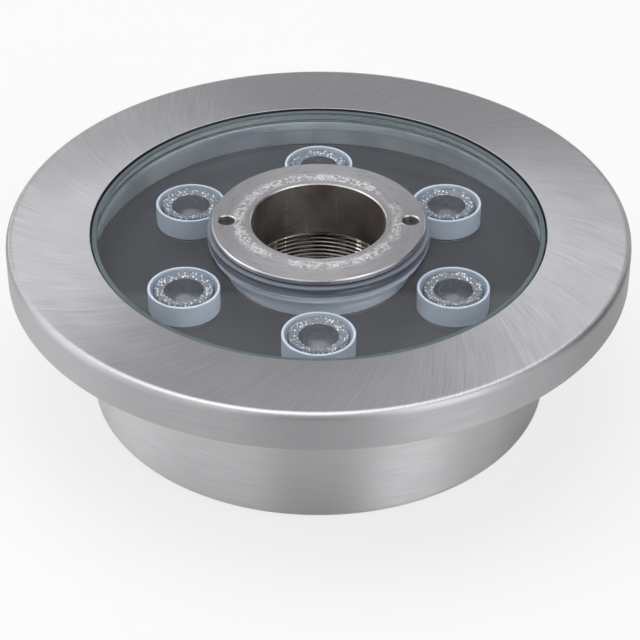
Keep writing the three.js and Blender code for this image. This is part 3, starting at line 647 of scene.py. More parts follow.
def bore_steel():
    """Inside of the centre tube: darker, with water marks and bright vertical scratches, and painted shade
    down the bore below the clamp's neck.
    """
    material, tree = new_material("bore_steel")
    point = tree.point()
    stretched = tree.vector("MULTIPLY", point, (1, 1, 0.06))
    marks = tree.noise(stretched, 420.0, 3.0, 0.6)
    cloud = use_effect(tree, "slow_clouds", point, Scale=45.0)
    stained = tree.mixed(tree.ranged(cloud, 0.35, 0.65), (0.44, 0.39, 0.355), (0.72, 0.68, 0.64))
    height_up = tree.node("SeparateXYZ", {0: point}).outputs[2]
    # Painted shade: the bore goes dark below the clamp's neck.
    shade_painted_below_neck = tree.mixed(tree.ranged(height_up, NECK_BOTTOM, NECK_BOTTOM - MM), stained, (0.2, 0.18, 0.165))
    specks = use_effect(tree, "scattered_nicks", point, Density=300.0, Size=0.16, Amount=0.12)
    scratches = tree.ranged(marks, 0.6, 0.68)
    scratched = tree.mixed(tree.math("MAXIMUM", specks, scratches), shade_painted_below_neck, (0.85, 0.84, 0.82))
    rough = tree.ranged(cloud, 0.3, 0.7, 0.22, 0.38)
    shader = tree.node("BsdfPrincipled", {
        "Base Color": scratched, "Metallic": 1.0, "Roughness": rough, "Normal": bumped(tree, marks, 0.00001)})
    finish_with(tree, shader.outputs[0])
    return material


def lens_beads():
    """The lens's beaded band, made opaque: painted highlights on the beads, some fainter than others, over a
    ground painted dark as painted shade.
    """
    material, tree = new_material("lens_beads")
    point = tree.point()
    cells = tree.node("TexVoronoi", {"Vector": point, "Scale": 1 / settings("optics").bead})
    # A painted highlight on each bead.
    painted_glint = tree.ranged(cells.outputs["Distance"], 0.5, 0.25)
    picked = tree.node("SeparateXYZ", {0: cells.outputs["Color"]}).outputs[0]
    painted_glint = tree.math("MULTIPLY", painted_glint, tree.ranged(picked, 0.25, 0.6))
    tone = tree.mixed(painted_glint, (0.16, 0.17, 0.205), (0.95, 0.97, 1.0))
    rough = tree.ranged(picked, 0.0, 1.0, 0.06, 0.2)
    shader = tree.node("BsdfPrincipled", {
        "Base Color": tone, "Roughness": rough, "IOR": 1.49, "Coat Weight": 0.6,
        "Normal": bumped(tree, painted_glint, 0.00002)})
    finish_with(tree, shader.outputs[0])
    return material


def lets_light_through(tree, shader):
    """Lamps shine through clear pieces: a shadow ray passes them."""
    clear = tree.node("BsdfTransparent", {0: (0.95, 0.965, 0.975, 1)}).outputs[0]
    path = tree.node("LightPath").outputs["Is Shadow Ray"]
    mix = tree.node("MixShader")
    tree.feed(mix.inputs[0], path)
    tree.feed(mix.inputs[1], shader)
    tree.feed(mix.inputs[2], clear)
    return mix.outputs[0]


def window_glass():
    """Clear glass, a little smeared and dusty, with a green tint in its depth."""
    material, tree = new_material("window_glass")
    point = tree.point()
    smears = use_effect(tree, "slow_clouds", point, Scale=38.0)
    dust = use_effect(tree, "scattered_nicks", point, Density=260.0, Size=0.06, Amount=0.04)
    rough = tree.math("ADD", tree.ranged(smears, 0.5, 0.75, 0.0, 0.035), tree.math("MULTIPLY", dust, 0.3))
    shader = tree.node("BsdfPrincipled", {
        "Base Color": (0.985, 0.99, 1.0, 1), "Roughness": rough, "IOR": 1.5, "Transmission Weight": 1.0})
    tint = tree.node("VolumeAbsorption", {"Color": (0.5, 0.8, 0.78, 1), "Density": 11.0})
    finish_with(tree, lets_light_through(tree, shader.outputs[0]), tint.outputs[0])
    return material


def ground_edge():
    """The glass's ground edge, which scatters light."""
    material, tree = new_material("ground_edge")
    grit = tree.noise(tree.point(), 1500.0, 3.0, 0.6)
    rough = tree.ranged(grit, 0.3, 0.7, 0.55, 0.75)
    shader = tree.node("BsdfPrincipled", {
        "Base Color": (0.62, 0.74, 0.8, 1), "Roughness": rough, "IOR": 1.5, "Transmission Weight": 1.0,
        "Normal": bumped(tree, grit, 0.00003)})
    tint = tree.node("VolumeAbsorption", {"Color": (0.5, 0.8, 0.78, 1), "Density": 11.0})
    finish_with(tree, lets_light_through(tree, shader.outputs[0]), tint.outputs[0])
    return material


def clear_lens():
    """Moulded clear plastic, slightly hazed. Its beads are in the mesh."""
    material, tree = new_material("clear_lens")
    point = tree.point()
    skin = tree.noise(point, 2400.0, 2.0)
    cloud = use_effect(tree, "slow_clouds", point, Scale=300.0)
    rough = tree.ranged(cloud, 0.3, 0.7, 0.03, 0.1)
    shader = tree.node("BsdfPrincipled", {
        "Base Color": (0.93, 0.945, 0.98, 1), "Roughness": rough, "IOR": 1.49, "Transmission Weight": 1.0,
        "Normal": bumped(tree, skin, 0.000004)})
    finish_with(tree, lets_light_through(tree, shader.outputs[0]))
    return material


def plain_finish(name, base, roughness, variation, scale, metallic=0.0, relief=0.00002):
    """A moulded, cast or plated surface: colour and polish that drift, over a fine skin texture."""
    material, tree = new_material(name)
    point = tree.point()
    cloud = use_effect(tree, "slow_clouds", point, Scale=scale)
    skin = tree.noise(point, scale * 14, 2.0)
    drift = tree.mixed(
        tree.ranged(cloud, 0.3, 0.7), toned(base, 1 - variation), toned(base, 1 + variation))
    rough = tree.ranged(cloud, 0.3, 0.7, max(0.02, roughness - 0.06), roughness + 0.06)
    shader = tree.node("BsdfPrincipled", {
        "Base Color": drift, "Roughness": rough, "Metallic": metallic, "Normal": bumped(tree, skin, relief)})
    finish_with(tree, shader.outputs[0])
    return material


def potting_resin():
    """Cast black resin: a soft gloss, faint flow marks and a little dust."""
    material, tree = new_material("potting_resin")
    point = tree.point()
    flow = use_effect(tree, "slow_clouds", point, Scale=34.0)
    fine = tree.noise(point, 700.0, 3.0, 0.6)
    dust = use_effect(tree, "scattered_nicks", point, Density=210.0, Size=0.07, Amount=0.05)
    base = settings("finishes").potting
    drift = tree.mixed(tree.ranged(flow, 0.3, 0.7), toned(base, 0.85), toned(base, 1.25))
    speckled = tree.mixed(tree.math("MULTIPLY", dust, 0.5), drift, (0.35, 0.36, 0.4))
    rough = tree.ranged(flow, 0.3, 0.7, 0.28, 0.42)
    relief = tree.math("ADD", tree.math("MULTIPLY", flow, 6.0), fine)
    shader = tree.node("BsdfPrincipled", {
        "Base Color": speckled, "Roughness": rough, "Normal": bumped(tree, relief, 0.00001)})
    finish_with(tree, shader.outputs[0])
    return material


def board_green():
    """Green solder mask over a pattern of copper tracks."""
    material, tree = new_material("board_green")
    point = tree.point()
    cells = tree.node("TexVoronoi", {"Vector": point, "Scale": 170.0}, feature="DISTANCE_TO_EDGE")
    tracks = tree.ranged(cells.outputs["Distance"], 0.06, 0.09)
    cloud = use_effect(tree, "slow_clouds", point, Scale=60.0)
    tone = tree.mixed(tracks, (0.05, 0.25, 0.13), (0.03, 0.16, 0.085))
    drift = tree.mixed(tree.math("MULTIPLY", cloud, 0.3), tone, (0.02, 0.1, 0.06))
    shader = tree.node("BsdfPrincipled", {
        "Base Color": drift, "Roughness": tree.ranged(cloud, 0.3, 0.7, 0.3, 0.45),
        "Normal": bumped(tree, tracks, 0.00003)})
    finish_with(tree, shader.outputs[0])
    return material


MATERIALS = {
    "face_steel": face_steel,
    "side_steel": side_steel,
    "cup_steel": cup_steel,
    "gland_steel": gland_steel,
    "clamp_steel": clamp_steel,
    "bore_steel": bore_steel,
    "window_glass": window_glass,
    "ground_edge": ground_edge,
    "clear_lens": clear_lens,
    "lens_beads": lens_beads,
    "potting_resin": potting_resin,
    "board_green": board_green,
}

# Colour or its setting's name, then roughness, variation, scale and, where they differ, metallic and relief.
# lens_side and lens_well line the lens's flare and well with an opaque dark grey surface: painted shade for
# the dark that the clear lens shows.
PLAIN_FINISHES = {
    "silicone": ("silicone", 0.34, 0.1, 80.0),
    "gasket_lip": ((0.2, 0.22, 0.275), 0.45, 0.1, 80.0),
    # The inner gasket's web and lower lip, painted paler than its top lip: painted light on what lies in
    # shade under the clamp ring.
    "pale_silicone": ((0.5, 0.54, 0.63), 0.4, 0.06, 80.0),
    "holder_frost": ("holder", 0.5, 0.06, 160.0),
    # The frosted holders' inner walls, painted near black: painted shade in the gap round each lens.
    "holder_inside": ((0.035, 0.037, 0.045), 0.4, 0.1, 160.0),
    "lens_side": ((0.36, 0.38, 0.45), 0.22, 0.25, 420.0, 1.0),
    "lens_well": ((0.3, 0.31, 0.37), 0.3, 0.2, 300.0),
    # The steel tube's outside, painted as a pale blue-grey non-metal so that it looks lit from above: painted
    # light.
    "tube_satin": ((0.82, 0.87, 0.97), 0.42, 0.03, 60.0),
    "inner_steel": ("inside", 0.5, 0.12, 70.0, 0.8),
    # The opening's cut edge, painted near black: painted shade in the gap over the gasket.
    "cut_edge": ((0.09, 0.1, 0.115), 0.45, 0.2, 120.0, 0.8),
    "black_rubber": ((0.02, 0.022, 0.022), 0.42, 0.2, 150.0),
    "black_plastic": ((0.03, 0.03, 0.032), 0.45, 0.15, 200.0),
    "sleeve_blue": ((0.03, 0.045, 0.13), 0.35, 0.1, 90.0),
    "terminal_green": ((0.05, 0.3, 0.13), 0.4, 0.1, 120.0),
    "copper": ((0.62, 0.28, 0.14), 0.32, 0.15, 260.0, 1.0, 0.00006),
    "brass": ((0.66, 0.5, 0.24), 0.3, 0.1, 140.0, 1.0),
    "board_mask": ((0.02, 0.021, 0.026), 0.35, 0.15, 60.0),
    "led_phosphor": ((0.82, 0.66, 0.2), 0.3, 0.08, 300.0),
    "wire_red": ((0.5, 0.03, 0.03), 0.4, 0.1, 200.0),
    "wire_black": ((0.02, 0.02, 0.02), 0.4, 0.2, 200.0),
}

made_materials = {}


def finish_named(name):
    """The finish of that name, made once. The frame's own plain materials may share its name."""
    if name not in made_materials:
        made_materials[name] = make_finish(name)
    return made_materials[name]


def make_finish(name):
    if name in MATERIALS:
        return MATERIALS[name]()
    base, *values = PLAIN_FINISHES[name]
    if isinstance(base, str):
        base = getattr(settings("finishes"), base)
    return plain_finish(name, base, *values)


def present(obj, body, finishes, slot, *nodes):
    """Gives a piece its finish, its body and the frame nodes that it stands for. Its slot is not used."""
    for i, finish in enumerate(finishes):
        if i == len(obj.data.materials):
            obj.data.materials.append(None)
        obj.data.materials[i] = finish_named(finish)
    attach(obj, body)
    if nodes:
        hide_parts(*nodes)
    return obj


def dress(node, finish):
    """Gives a frame node that keeps its own shape its finish."""
    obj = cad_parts[node]
    obj.data.materials.clear()
    obj.data.materials.append(finish_named(finish))


def paint_faces(obj, slot_index, wanted):
    """Moves the faces that wanted(centre, normal) picks to another of the piece's material slots."""
    while len(obj.data.materials) <= slot_index:
        obj.data.materials.append(None)
    for face in obj.data.polygons:
        if wanted(face.center, face.normal):
            face.material_index = slot_index


# ---- thread shape ----

def thread_profile(phase):
    """Depth of a thread at a phase from 0 to 1: 0 at the crest, 1 at the root, with flats at both."""
    wave = abs((phase % 1) * 2 - 1)
    flat = 0.12
    return min(1, max(0, (wave - flat) / (1 - 2 * flat)))


def faded(height, bottom, top, fade):
    """1 along the thread, falling to 0 at its two ends."""
    return min(1, max(0, min(height - bottom, top - height) / fade))


# ---- pieces ----

def make_face_ring():
    housing = settings("housing")
    inner_bend = housing.shoulder - housing.sheet
    underside = FACE_TOP - housing.sheet
    lip = 0.35 * MM
    corners = [
        (housing.aperture, FACE_TOP, 0.25 * MM),
        (housing.aperture, underside, 0.15 * MM),
        (FACE_RADIUS - housing.sheet, underside, inner_bend),
        (FACE_RADIUS - housing.sheet, SKIRT_BOTTOM, lip),
        (FACE_RADIUS, SKIRT_BOTTOM, lip),
        (FACE_RADIUS, FACE_TOP, housing.shoulder),
    ]
    outline = spaced(rounded(corners, 7), 1.6 * MM)
    middle = (housing.aperture + FACE_RADIUS) / 2

    waves_per_metre = 32
    flat_end = FACE_RADIUS - 4 * MM

    def worked(radius, height, angle):
        """Dishes and ripples the top of the face, and leaves its underside flat."""
        if radius > flat_end:
            return radius, height
        raised = max(0, height - underside) / housing.sheet
        fall = max(0, (middle - radius) / (middle - housing.aperture)) ** 2 * housing.dish * raised
        place = Vector((radius * math.cos(angle), radius * math.sin(angle), 0)) * waves_per_metre
        edge = min(1, (flat_end - radius) / (3 * MM))
        wave = (noise.noise(place) - 0.5) * housing.ripple * edge * raised
        return radius, height - fall + min(0, wave)

    ring = revolved("face_ring_shell", outline, FINE_ROUND, worked)
    present(ring, "housing", ["face_steel", "side_steel", "cut_edge"], "brushed_housing_steel", "face_ring")
    bend = FACE_TOP - 0.6 * MM
    paint_faces(ring, 1, lambda centre, normal: centre.z < bend or abs(normal.z) < 0.75)
    # The opening's inner edge gets painted shade.
    opening = housing.aperture + 0.12 * MM
    paint_faces(ring, 2, lambda centre, normal: from_axis(centre) < opening and abs(normal.z) < 0.8)


def make_cup():
    housing = settings("housing")
    hole = housing.tube_radius + 0.1 * MM
    wall = CUP_RADIUS
    inner = wall - housing.wall
    corners = [
        (hole, 0, 0.2 * MM),
        (wall, 0, housing.fillet),
        (wall, FLANGE_TOP, 0.1 * MM),
        (inner, FLANGE_TOP, 0.1 * MM),
        (inner, housing.base, housing.fillet - housing.wall),
        (hole, housing.base, 0.2 * MM),
    ]
    cup = revolved("cup_shell", spaced(rounded(corners, 6), 6 * MM), FINE_ROUND)
    gland = centre_of("gland_seal_ring")
    boss_end = lowest("gland_seal_ring", Y) - 0.3 * MM
    boss_radius = half_width("gland_seal_ring") + 1 * MM
    boss_foot = wall - 0.4 * MM
    boss_outline = rounded([
        (GLAND_HOLE_RADIUS, boss_foot, 0), (boss_radius, boss_foot, 0),
        (boss_radius, boss_end, 0.5 * MM), (GLAND_HOLE_RADIUS, boss_end, 0.4 * MM)])
    bore = cylinder("boss_bore", GLAND_HOLE_RADIUS, inner - 9 * MM, boss_end + MM)
    combine(cup, [lay_along_y(bore, gland.z)])
    boss = lay_along_y(revolved("cup_boss", boss_outline, SMALL_ROUND), gland.z)
    combine(boss, [cylinder("boss_trim", wall - 0.05 * MM, -MM, FACE_TOP, FINE_ROUND)])
    weld = weld_round_boss(wall, boss_radius, gland.z)
    middle = wall - housing.wall / 2
    inside_base = 0.5 * MM
    paint_faces(cup, 1, lambda centre, normal: from_axis(centre) < middle and centre.z > inside_base)
    present(cup, "housing", ["cup_steel", "inner_steel"], "brushed_housing_steel", "housing_cup")
    present(boss, "housing", ["gland_steel"], "brushed_housing_steel")
    present(weld, "housing", ["gland_steel"], "brushed_housing_steel")


def lay_along_y(obj, height):
    """Turns a piece made along +Z so that it lies along +Y at a height."""
    obj.data.transform(Matrix.Translation((0, 0, height)) @ Matrix.Rotation(-math.pi / 2, 4, "X"))
    return obj


def weld_round_boss(wall, radius, height):
    """The rippled bead that joins the gland's boss to the cup's wall."""
    steps, sides, bead = 120, 8, 0.9 * MM
    verts = []
    for i in range(steps):
        angle = TURN * i / steps
        x, z = radius * math.cos(angle), height + radius * math.sin(angle)
        y = math.sqrt(wall ** 2 - x ** 2)
        size = bead * (1 + 0.1 * math.sin(angle * 26))
        for j in range(sides):
            around = TURN * j / sides
            reach = size * math.cos(around)
            verts.append((
                x + reach * math.cos(angle), y + size * 0.6 * math.sin(around) + 0.1 * MM,
                z + reach * math.sin(angle)))
    faces = [
        (i * sides + j, (i + 1) % steps * sides + j, (i + 1) % steps * sides + (j + 1) % sides,
         i * sides + (j + 1) % sides)
        for i in range(steps) for j in range(sides)]
    return smooth(object_from("boss_weld", verts, faces), 60)


def make_seats():
    flange = band(
        "mounting_flange_plate", hole_radius("mounting_flange"), FLANGE_RADIUS,
        FLANGE_BOTTOM, FLANGE_TOP, 0.1 * MM, 0.3 * MM)
    present(flange, "housing", ["side_steel"], "brushed_housing_steel", "mounting_flange")
    seat_inner = SEAT_RADIUS - settings("housing").seat_width
    seat = band(
        "seat_ring_band", seat_inner, SEAT_RADIUS, SEAT_BOTTOM, SEAT_TOP,
        0.3 * MM, 0.1 * MM, segments=FINE_ROUND)
    present(seat, "housing", ["inner_steel"], "brushed_housing_steel", "seat_ring")


def make_centre_tube():
    housing, thread = settings("housing"), settings("thread")
    seat_bottom = SEAT_TOP - housing.tube_seat
    top = NECK_BOTTOM - 0.3 * MM
    bottom = top - thread.turns * thread.pitch
    steps_per_turn = 12
    corners = rounded([
        (thread.bore, 0, 0.8 * MM),
        (housing.tube_radius, 0, 0.2 * MM),
        (housing.tube_radius, seat_bottom, 0),
        (TUBE_SEAT_RADIUS, seat_bottom, 0.3 * MM),
        (TUBE_SEAT_RADIUS, SEAT_TOP, 0.2 * MM),
        (thread.socket, SEAT_TOP, 0.4 * MM),
        (thread.socket, top, 0)], 4)
    count = int(thread.turns * steps_per_turn)
    screw = [(thread.crest, top + (bottom - top) * i / count) for i in range(count + 1)]
    outline = corners + screw + [(thread.bore, bottom - 0.6 * MM)]

    def threaded(radius, height, angle):
        if abs(radius - thread.crest) > SAME:
            return radius, height
        phase = height / thread.pitch - angle / TURN
        cut = thread_profile(phase) * faded(height, bottom, top, thread.pitch * 0.8)
        return radius + thread.depth * cut, height

    tube = revolved("centre_tube_body", outline, ROUND, threaded)
    present(tube, "housing", ["bore_steel", "tube_satin"], "turned_steel", "centre_tube")
    # The tube's outside is painted light: a pale non-metal in place of its steel.
    outside = housing.tube_radius - 2 * MM
    paint_faces(tube, 1, lambda centre, normal: from_axis(centre) > outside)


def make_window():
    bevel = 0.6 * MM
    hole = hole_radius("glass_disc")
    disc = band(
        "window_disc", hole, GLASS_RADIUS, GLASS_BOTTOM, GLASS_TOP,
        bevel, bevel, steps=2, segments=FINE_ROUND)
    rim = GLASS_RADIUS - 0.05 * MM
    hole_edge = hole * 1.002
    paint_faces(disc, 1, lambda centre, normal: not hole_edge <= from_axis(centre) <= rim)
    present(disc, "housing", ["window_glass", "ground_edge"], "tempered_glass", "glass_disc")
    web = 0.7 * MM
    lip = GASKET_TOP - GLASS_TOP
    top_inner = GASKET_RADIUS - 1.5 * MM
    low_inner = GASKET_RADIUS - 1.4 * MM
    soft = lip * 0.45
    outer = revolved("outer_gasket_seal", rounded([
        (GASKET_RADIUS, GASKET_BOTTOM, soft), (GASKET_RADIUS, GASKET_TOP, soft),
        (top_inner, GASKET_TOP, soft), (top_inner, GLASS_TOP, 0.1 * MM),
        (GASKET_RADIUS - web, GLASS_TOP, 0), (GASKET_RADIUS - web, GLASS_BOTTOM, 0),
        (low_inner, GLASS_BOTTOM, 0.1 * MM), (low_inner, GASKET_BOTTOM, soft)], 4), FINE_ROUND)
    present(outer, "housing", ["silicone"], "silicone_gasket", "outer_gasket")
    bore = hole_radius("inner_gasket")
    inner = revolved("inner_gasket_seal", rounded([
        (bore, GASKET_BOTTOM, 0.2 * MM), (INNER_GASKET_RADIUS, GASKET_BOTTOM, soft),
        (INNER_GASKET_RADIUS, GLASS_BOTTOM, 0.1 * MM), (bore + web, GLASS_BOTTOM, 0),
        (bore + web, GLASS_TOP, 0), (INNER_GASKET_RADIUS, GLASS_TOP, 0.1 * MM),
        (INNER_GASKET_RADIUS, GASKET_TOP, soft), (bore, GASKET_TOP, 0.2 * MM)], 4))
    # The top lip keeps the gasket's tone. The rest is painted paler as painted light.
    paint_faces(inner, 1, lambda centre, normal: centre.z > GLASS_TOP - 0.1 * MM)
    present(inner, "housing", ["pale_silicone", "gasket_lip"], "silicone_gasket", "inner_gasket")


def make_clamp():
    clamp, thread = settings("clamp"), settings("thread")
    underside = WASHER_TOP
    lead_in = 0.4 * MM
    neck_top = underside - 1.2 * MM
    threaded_length = neck_top - NECK_BOTTOM - lead_in
    steps = int((neck_top - NECK_BOTTOM) / thread.pitch * 8)
    screw = [
        (clamp.neck, NECK_BOTTOM + lead_in + threaded_length * i / steps)
        for i in range(steps + 1)]
    outline = [(clamp.bore, NECK_BOTTOM), (clamp.neck - lead_in, NECK_BOTTOM)] + screw + rounded([
        (clamp.neck - 0.2 * MM, underside, 0),
        (CLAMP_RADIUS, underside, 0.15 * MM),
        (CLAMP_RADIUS, CLAMP_TOP - clamp.chamfer, 0),
        (CLAMP_RADIUS - clamp.chamfer, CLAMP_TOP, 0),
        (clamp.bore + clamp.chamfer, CLAMP_TOP, 0),
        (clamp.bore, CLAMP_TOP - clamp.chamfer, 0)])

    def threaded(radius, height, angle):
        if abs(radius - clamp.neck) > SAME:
            return radius, height
        phase = height / thread.pitch - angle / TURN
        cut = thread_profile(phase) * faded(height, NECK_BOTTOM, neck_top + thread.pitch, thread.pitch)
        return radius - thread.depth * 0.7 * cut, height

    ring = revolved("clamp_ring_nut", outline, ROUND, threaded)
    hole = clamp.spanner_hole
    mouth = hole + clamp.chamfer
    cutter = [
        (0, underside - MM), (hole, underside - MM), (hole, CLAMP_TOP - clamp.chamfer),
        (mouth, CLAMP_TOP), (mouth, CLAMP_TOP + MM), (0, CLAMP_TOP + MM)]
    combine(ring, [
        moved(revolved("spanner_hole", cutter, 48), (side * clamp.spanner_circle, 0))
        for side in (-1, 1)])
    present(ring, "clamp", ["clamp_steel"], "turned_steel", "clamp_ring")
    washer = band(
        "slip_washer_ring", hole_radius("slip_washer"), WASHER_RADIUS,
        WASHER_BOTTOM, WASHER_TOP, 0.1 * MM, 0.15 * MM)
    present(washer, "clamp_slip", ["black_rubber"], "black_rubber", "slip_washer")


def beaded(radius, height, angle, top, limit):
    """Height of the lens's face: a beaded band that slopes in to a flat middle with finer relief."""
    if height < top - SAME or radius > limit:
        return height
    optics = settings("optics")
    x, y = radius * math.cos(angle), radius * math.sin(angle)
    waves = [math.cos(TURN * part / optics.bead) * 0.5 + 0.5 for part in (x, y)]
    middle = limit * optics.middle
    slope = min(1, max(0, (limit - radius) / (limit - middle)))
    relief = optics.bead_height if radius > middle else optics.bead_height * 0.45
    return height - optics.dish * slope - relief * (1 - waves[0] * waves[1])


def lens_outline(foot, rim, top, face_rings=56):
    """The collimator's section: a well over the LED, a flaring side, a rim flange and a bead face."""
    optics = settings("optics")
    well_top = foot + 4.2 * MM
    widest = optics.lens - 1.0 * MM
    steps = 14
    dome_steps = 6
    dome_height = 0.8 * MM
    turns = [math.pi / 2 * step / dome_steps for step in range(dome_steps + 1)]
    dome = [(optics.well * math.sin(turn), well_top + dome_height * math.cos(turn)) for turn in turns]
    flare = [
        (optics.foot + (widest - optics.foot) * math.sqrt(step / steps), foot + (rim - foot) * step / steps)
        for step in range(steps + 1)]
    edge = optics.lens - 1.2 * MM
    flange = [(optics.lens, rim), (optics.lens, rim + 0.3 * MM), (edge + 0.15 * MM, rim + 0.45 * MM),
              (edge, top - 0.2 * MM), (edge - 0.2 * MM, top)]
    face = [((edge - 0.35 * MM) * (1 - ring / face_rings), top) for ring in range(face_rings + 1)]
    return [(0, dome[0][1])] + dome[1:] + [(optics.well, foot)] + flare + flange + face


def make_lamps():
    optics = settings("optics")
    for i in LAMPS:
        at = centre_of(f"lens_{i}")
        top = highest(f"lens_{i}", Z)
        rim = top - optics.flange
        limit = optics.lens - 1.6 * MM

        def moulded(radius, height, angle):
            return radius, beaded(radius, height, angle, top, limit)

        outline = lens_outline(lowest(f"lens_{i}", Z), rim, top)
        lens = revolved(f"collimator_{i}", outline, FINE_ROUND, moulded)
        well = optics.well + 0.05 * MM
        # The flare and the well get opaque dark linings: painted shade.
        paint_faces(lens, 1, lambda centre, normal: centre.z < rim and from_axis(centre) > well)
        paint_faces(lens, 2, lambda centre, normal: centre.z < rim and from_axis(centre) < well)
        # The beaded band gets painted highlights on a painted dark ground.
        middle = limit * optics.middle
        face_level = rim + 0.5 * MM
        paint_faces(lens, 3, lambda centre, normal: centre.z > face_level and from_axis(centre) > middle)
        finishes = ["clear_lens", "lens_side", "lens_well", "lens_beads"]
        present(moved(lens, at), "housing", finishes, "clear_lens", f"lens_{i}")
        make_holder(i, at, rim)
        dress(f"led_{i}", "led_phosphor")


def make_holder(i, at, rim):
    optics = settings("optics")
    inside = optics.lens + 0.2 * MM
    outside = inside + optics.holder_wall
    bottom, top = span(f"lens_holder_{i}", Z)
    ledge = optics.lens - 0.6 * MM
    holder = revolved(f"lens_cup_{i}", rounded([
        (ledge, bottom, 0.1 * MM), (outside, bottom, 0.1 * MM), (outside, top, 0.25 * MM),
        (inside, top, 0.15 * MM), (inside, rim, 0), (ledge, rim, 0.1 * MM)], 3), SMALL_ROUND)
    # Painted shade on the holder's inner wall.
    paint_faces(holder, 1, lambda centre, normal: from_axis(centre) < ledge + 0.01 * MM)
    finishes = ["holder_frost", "holder_inside"]
    present(moved(holder, at), "housing", finishes, "frosted_holder", f"lens_holder_{i}")


def creep_profile(at, away, height, rise, steps=8):
    """A concave fillet that climbs what the resin touches at radius at. away is 1 if the resin lies outside
    that radius, and -1 if it lies inside."""
    return [
        (at + away * rise * (1 - math.sin(math.pi / 2 * step / steps)),
         height + rise * (1 - math.cos(math.pi / 2 * step / steps)))
        for step in range(steps + 1)]


def make_potting():
    """Cast resin that fills the lamp above its board, and creeps up the wall, the tube and each holder."""
    optics = settings("optics")
    hole = hole_radius("potting_fill")
    places = [centre_of(f"lens_{i}") for i in LAMPS]
    holder = optics.lens + 0.2 * MM + optics.holder_wall + 0.02 * MM
    rise = optics.meniscus
    level = POTTING_TOP - rise
    wall = creep_profile(POTTING_RADIUS, -1, level, rise)
    tube = creep_profile(hole, 1, level, rise)
    rows = 24
    across = [(wall[0][0] + (tube[0][0] - wall[0][0]) * i / rows, level) for i in range(1, rows)]
    slow = 1 / (22 * MM)
    sag = 0.05 * MM

    def settled(radius, height, angle):
        if abs(height - level) > SAME:
            return radius, height
        place = Vector((radius * math.cos(angle), radius * math.sin(angle), 0)) * slow
        return radius, height - sag * (1 + noise.noise(place))

    outline = [(hole, POTTING_BOTTOM), (POTTING_RADIUS, POTTING_BOTTOM)] + wall[::-1] + across + tube
    fill = revolved("resin_fill", outline, FINE_ROUND, settled)
    combine(fill, [
        moved(cylinder(f"holder_room_{i}", holder, POTTING_BOTTOM - MM, POTTING_TOP + MM, SMALL_ROUND), place)
        for i, place in enumerate(places)])
    present(fill, "housing", ["potting_resin"], "black_potting", "potting_fill")
    sunk = level - 0.5 * MM
    climb = creep_profile(holder, 1, level - 0.12 * MM, rise)
    creep = [(holder, sunk), (climb[0][0], sunk)] + climb
    for i, place in zip(LAMPS, places):
        ring = moved(revolved(f"resin_creep_{i}", creep, SMALL_ROUND), place)
        present(ring, "housing", ["potting_resin"], "black_potting")
    dress("led_board", "board_mask")


def dress_driver():
    finishes = {
        "driver_board": "board_green", "capacitor_1": "sleeve_blue", "capacitor_2": "sleeve_blue",
        "inductor": "copper", "rectifier": "black_plastic", "driver_chip": "black_plastic",
        "terminal_block": "terminal_green", "lead_wire_red": "wire_red", "lead_wire_black": "wire_black"}
    for node, finish in finishes.items():
        dress(node, finish)
    for i in STANDOFFS:
        dress(f"lower_standoff_{i}", "brass")
        dress(f"upper_standoff_{i}", "brass")
        dress(f"board_screw_{i}", "gland_steel")


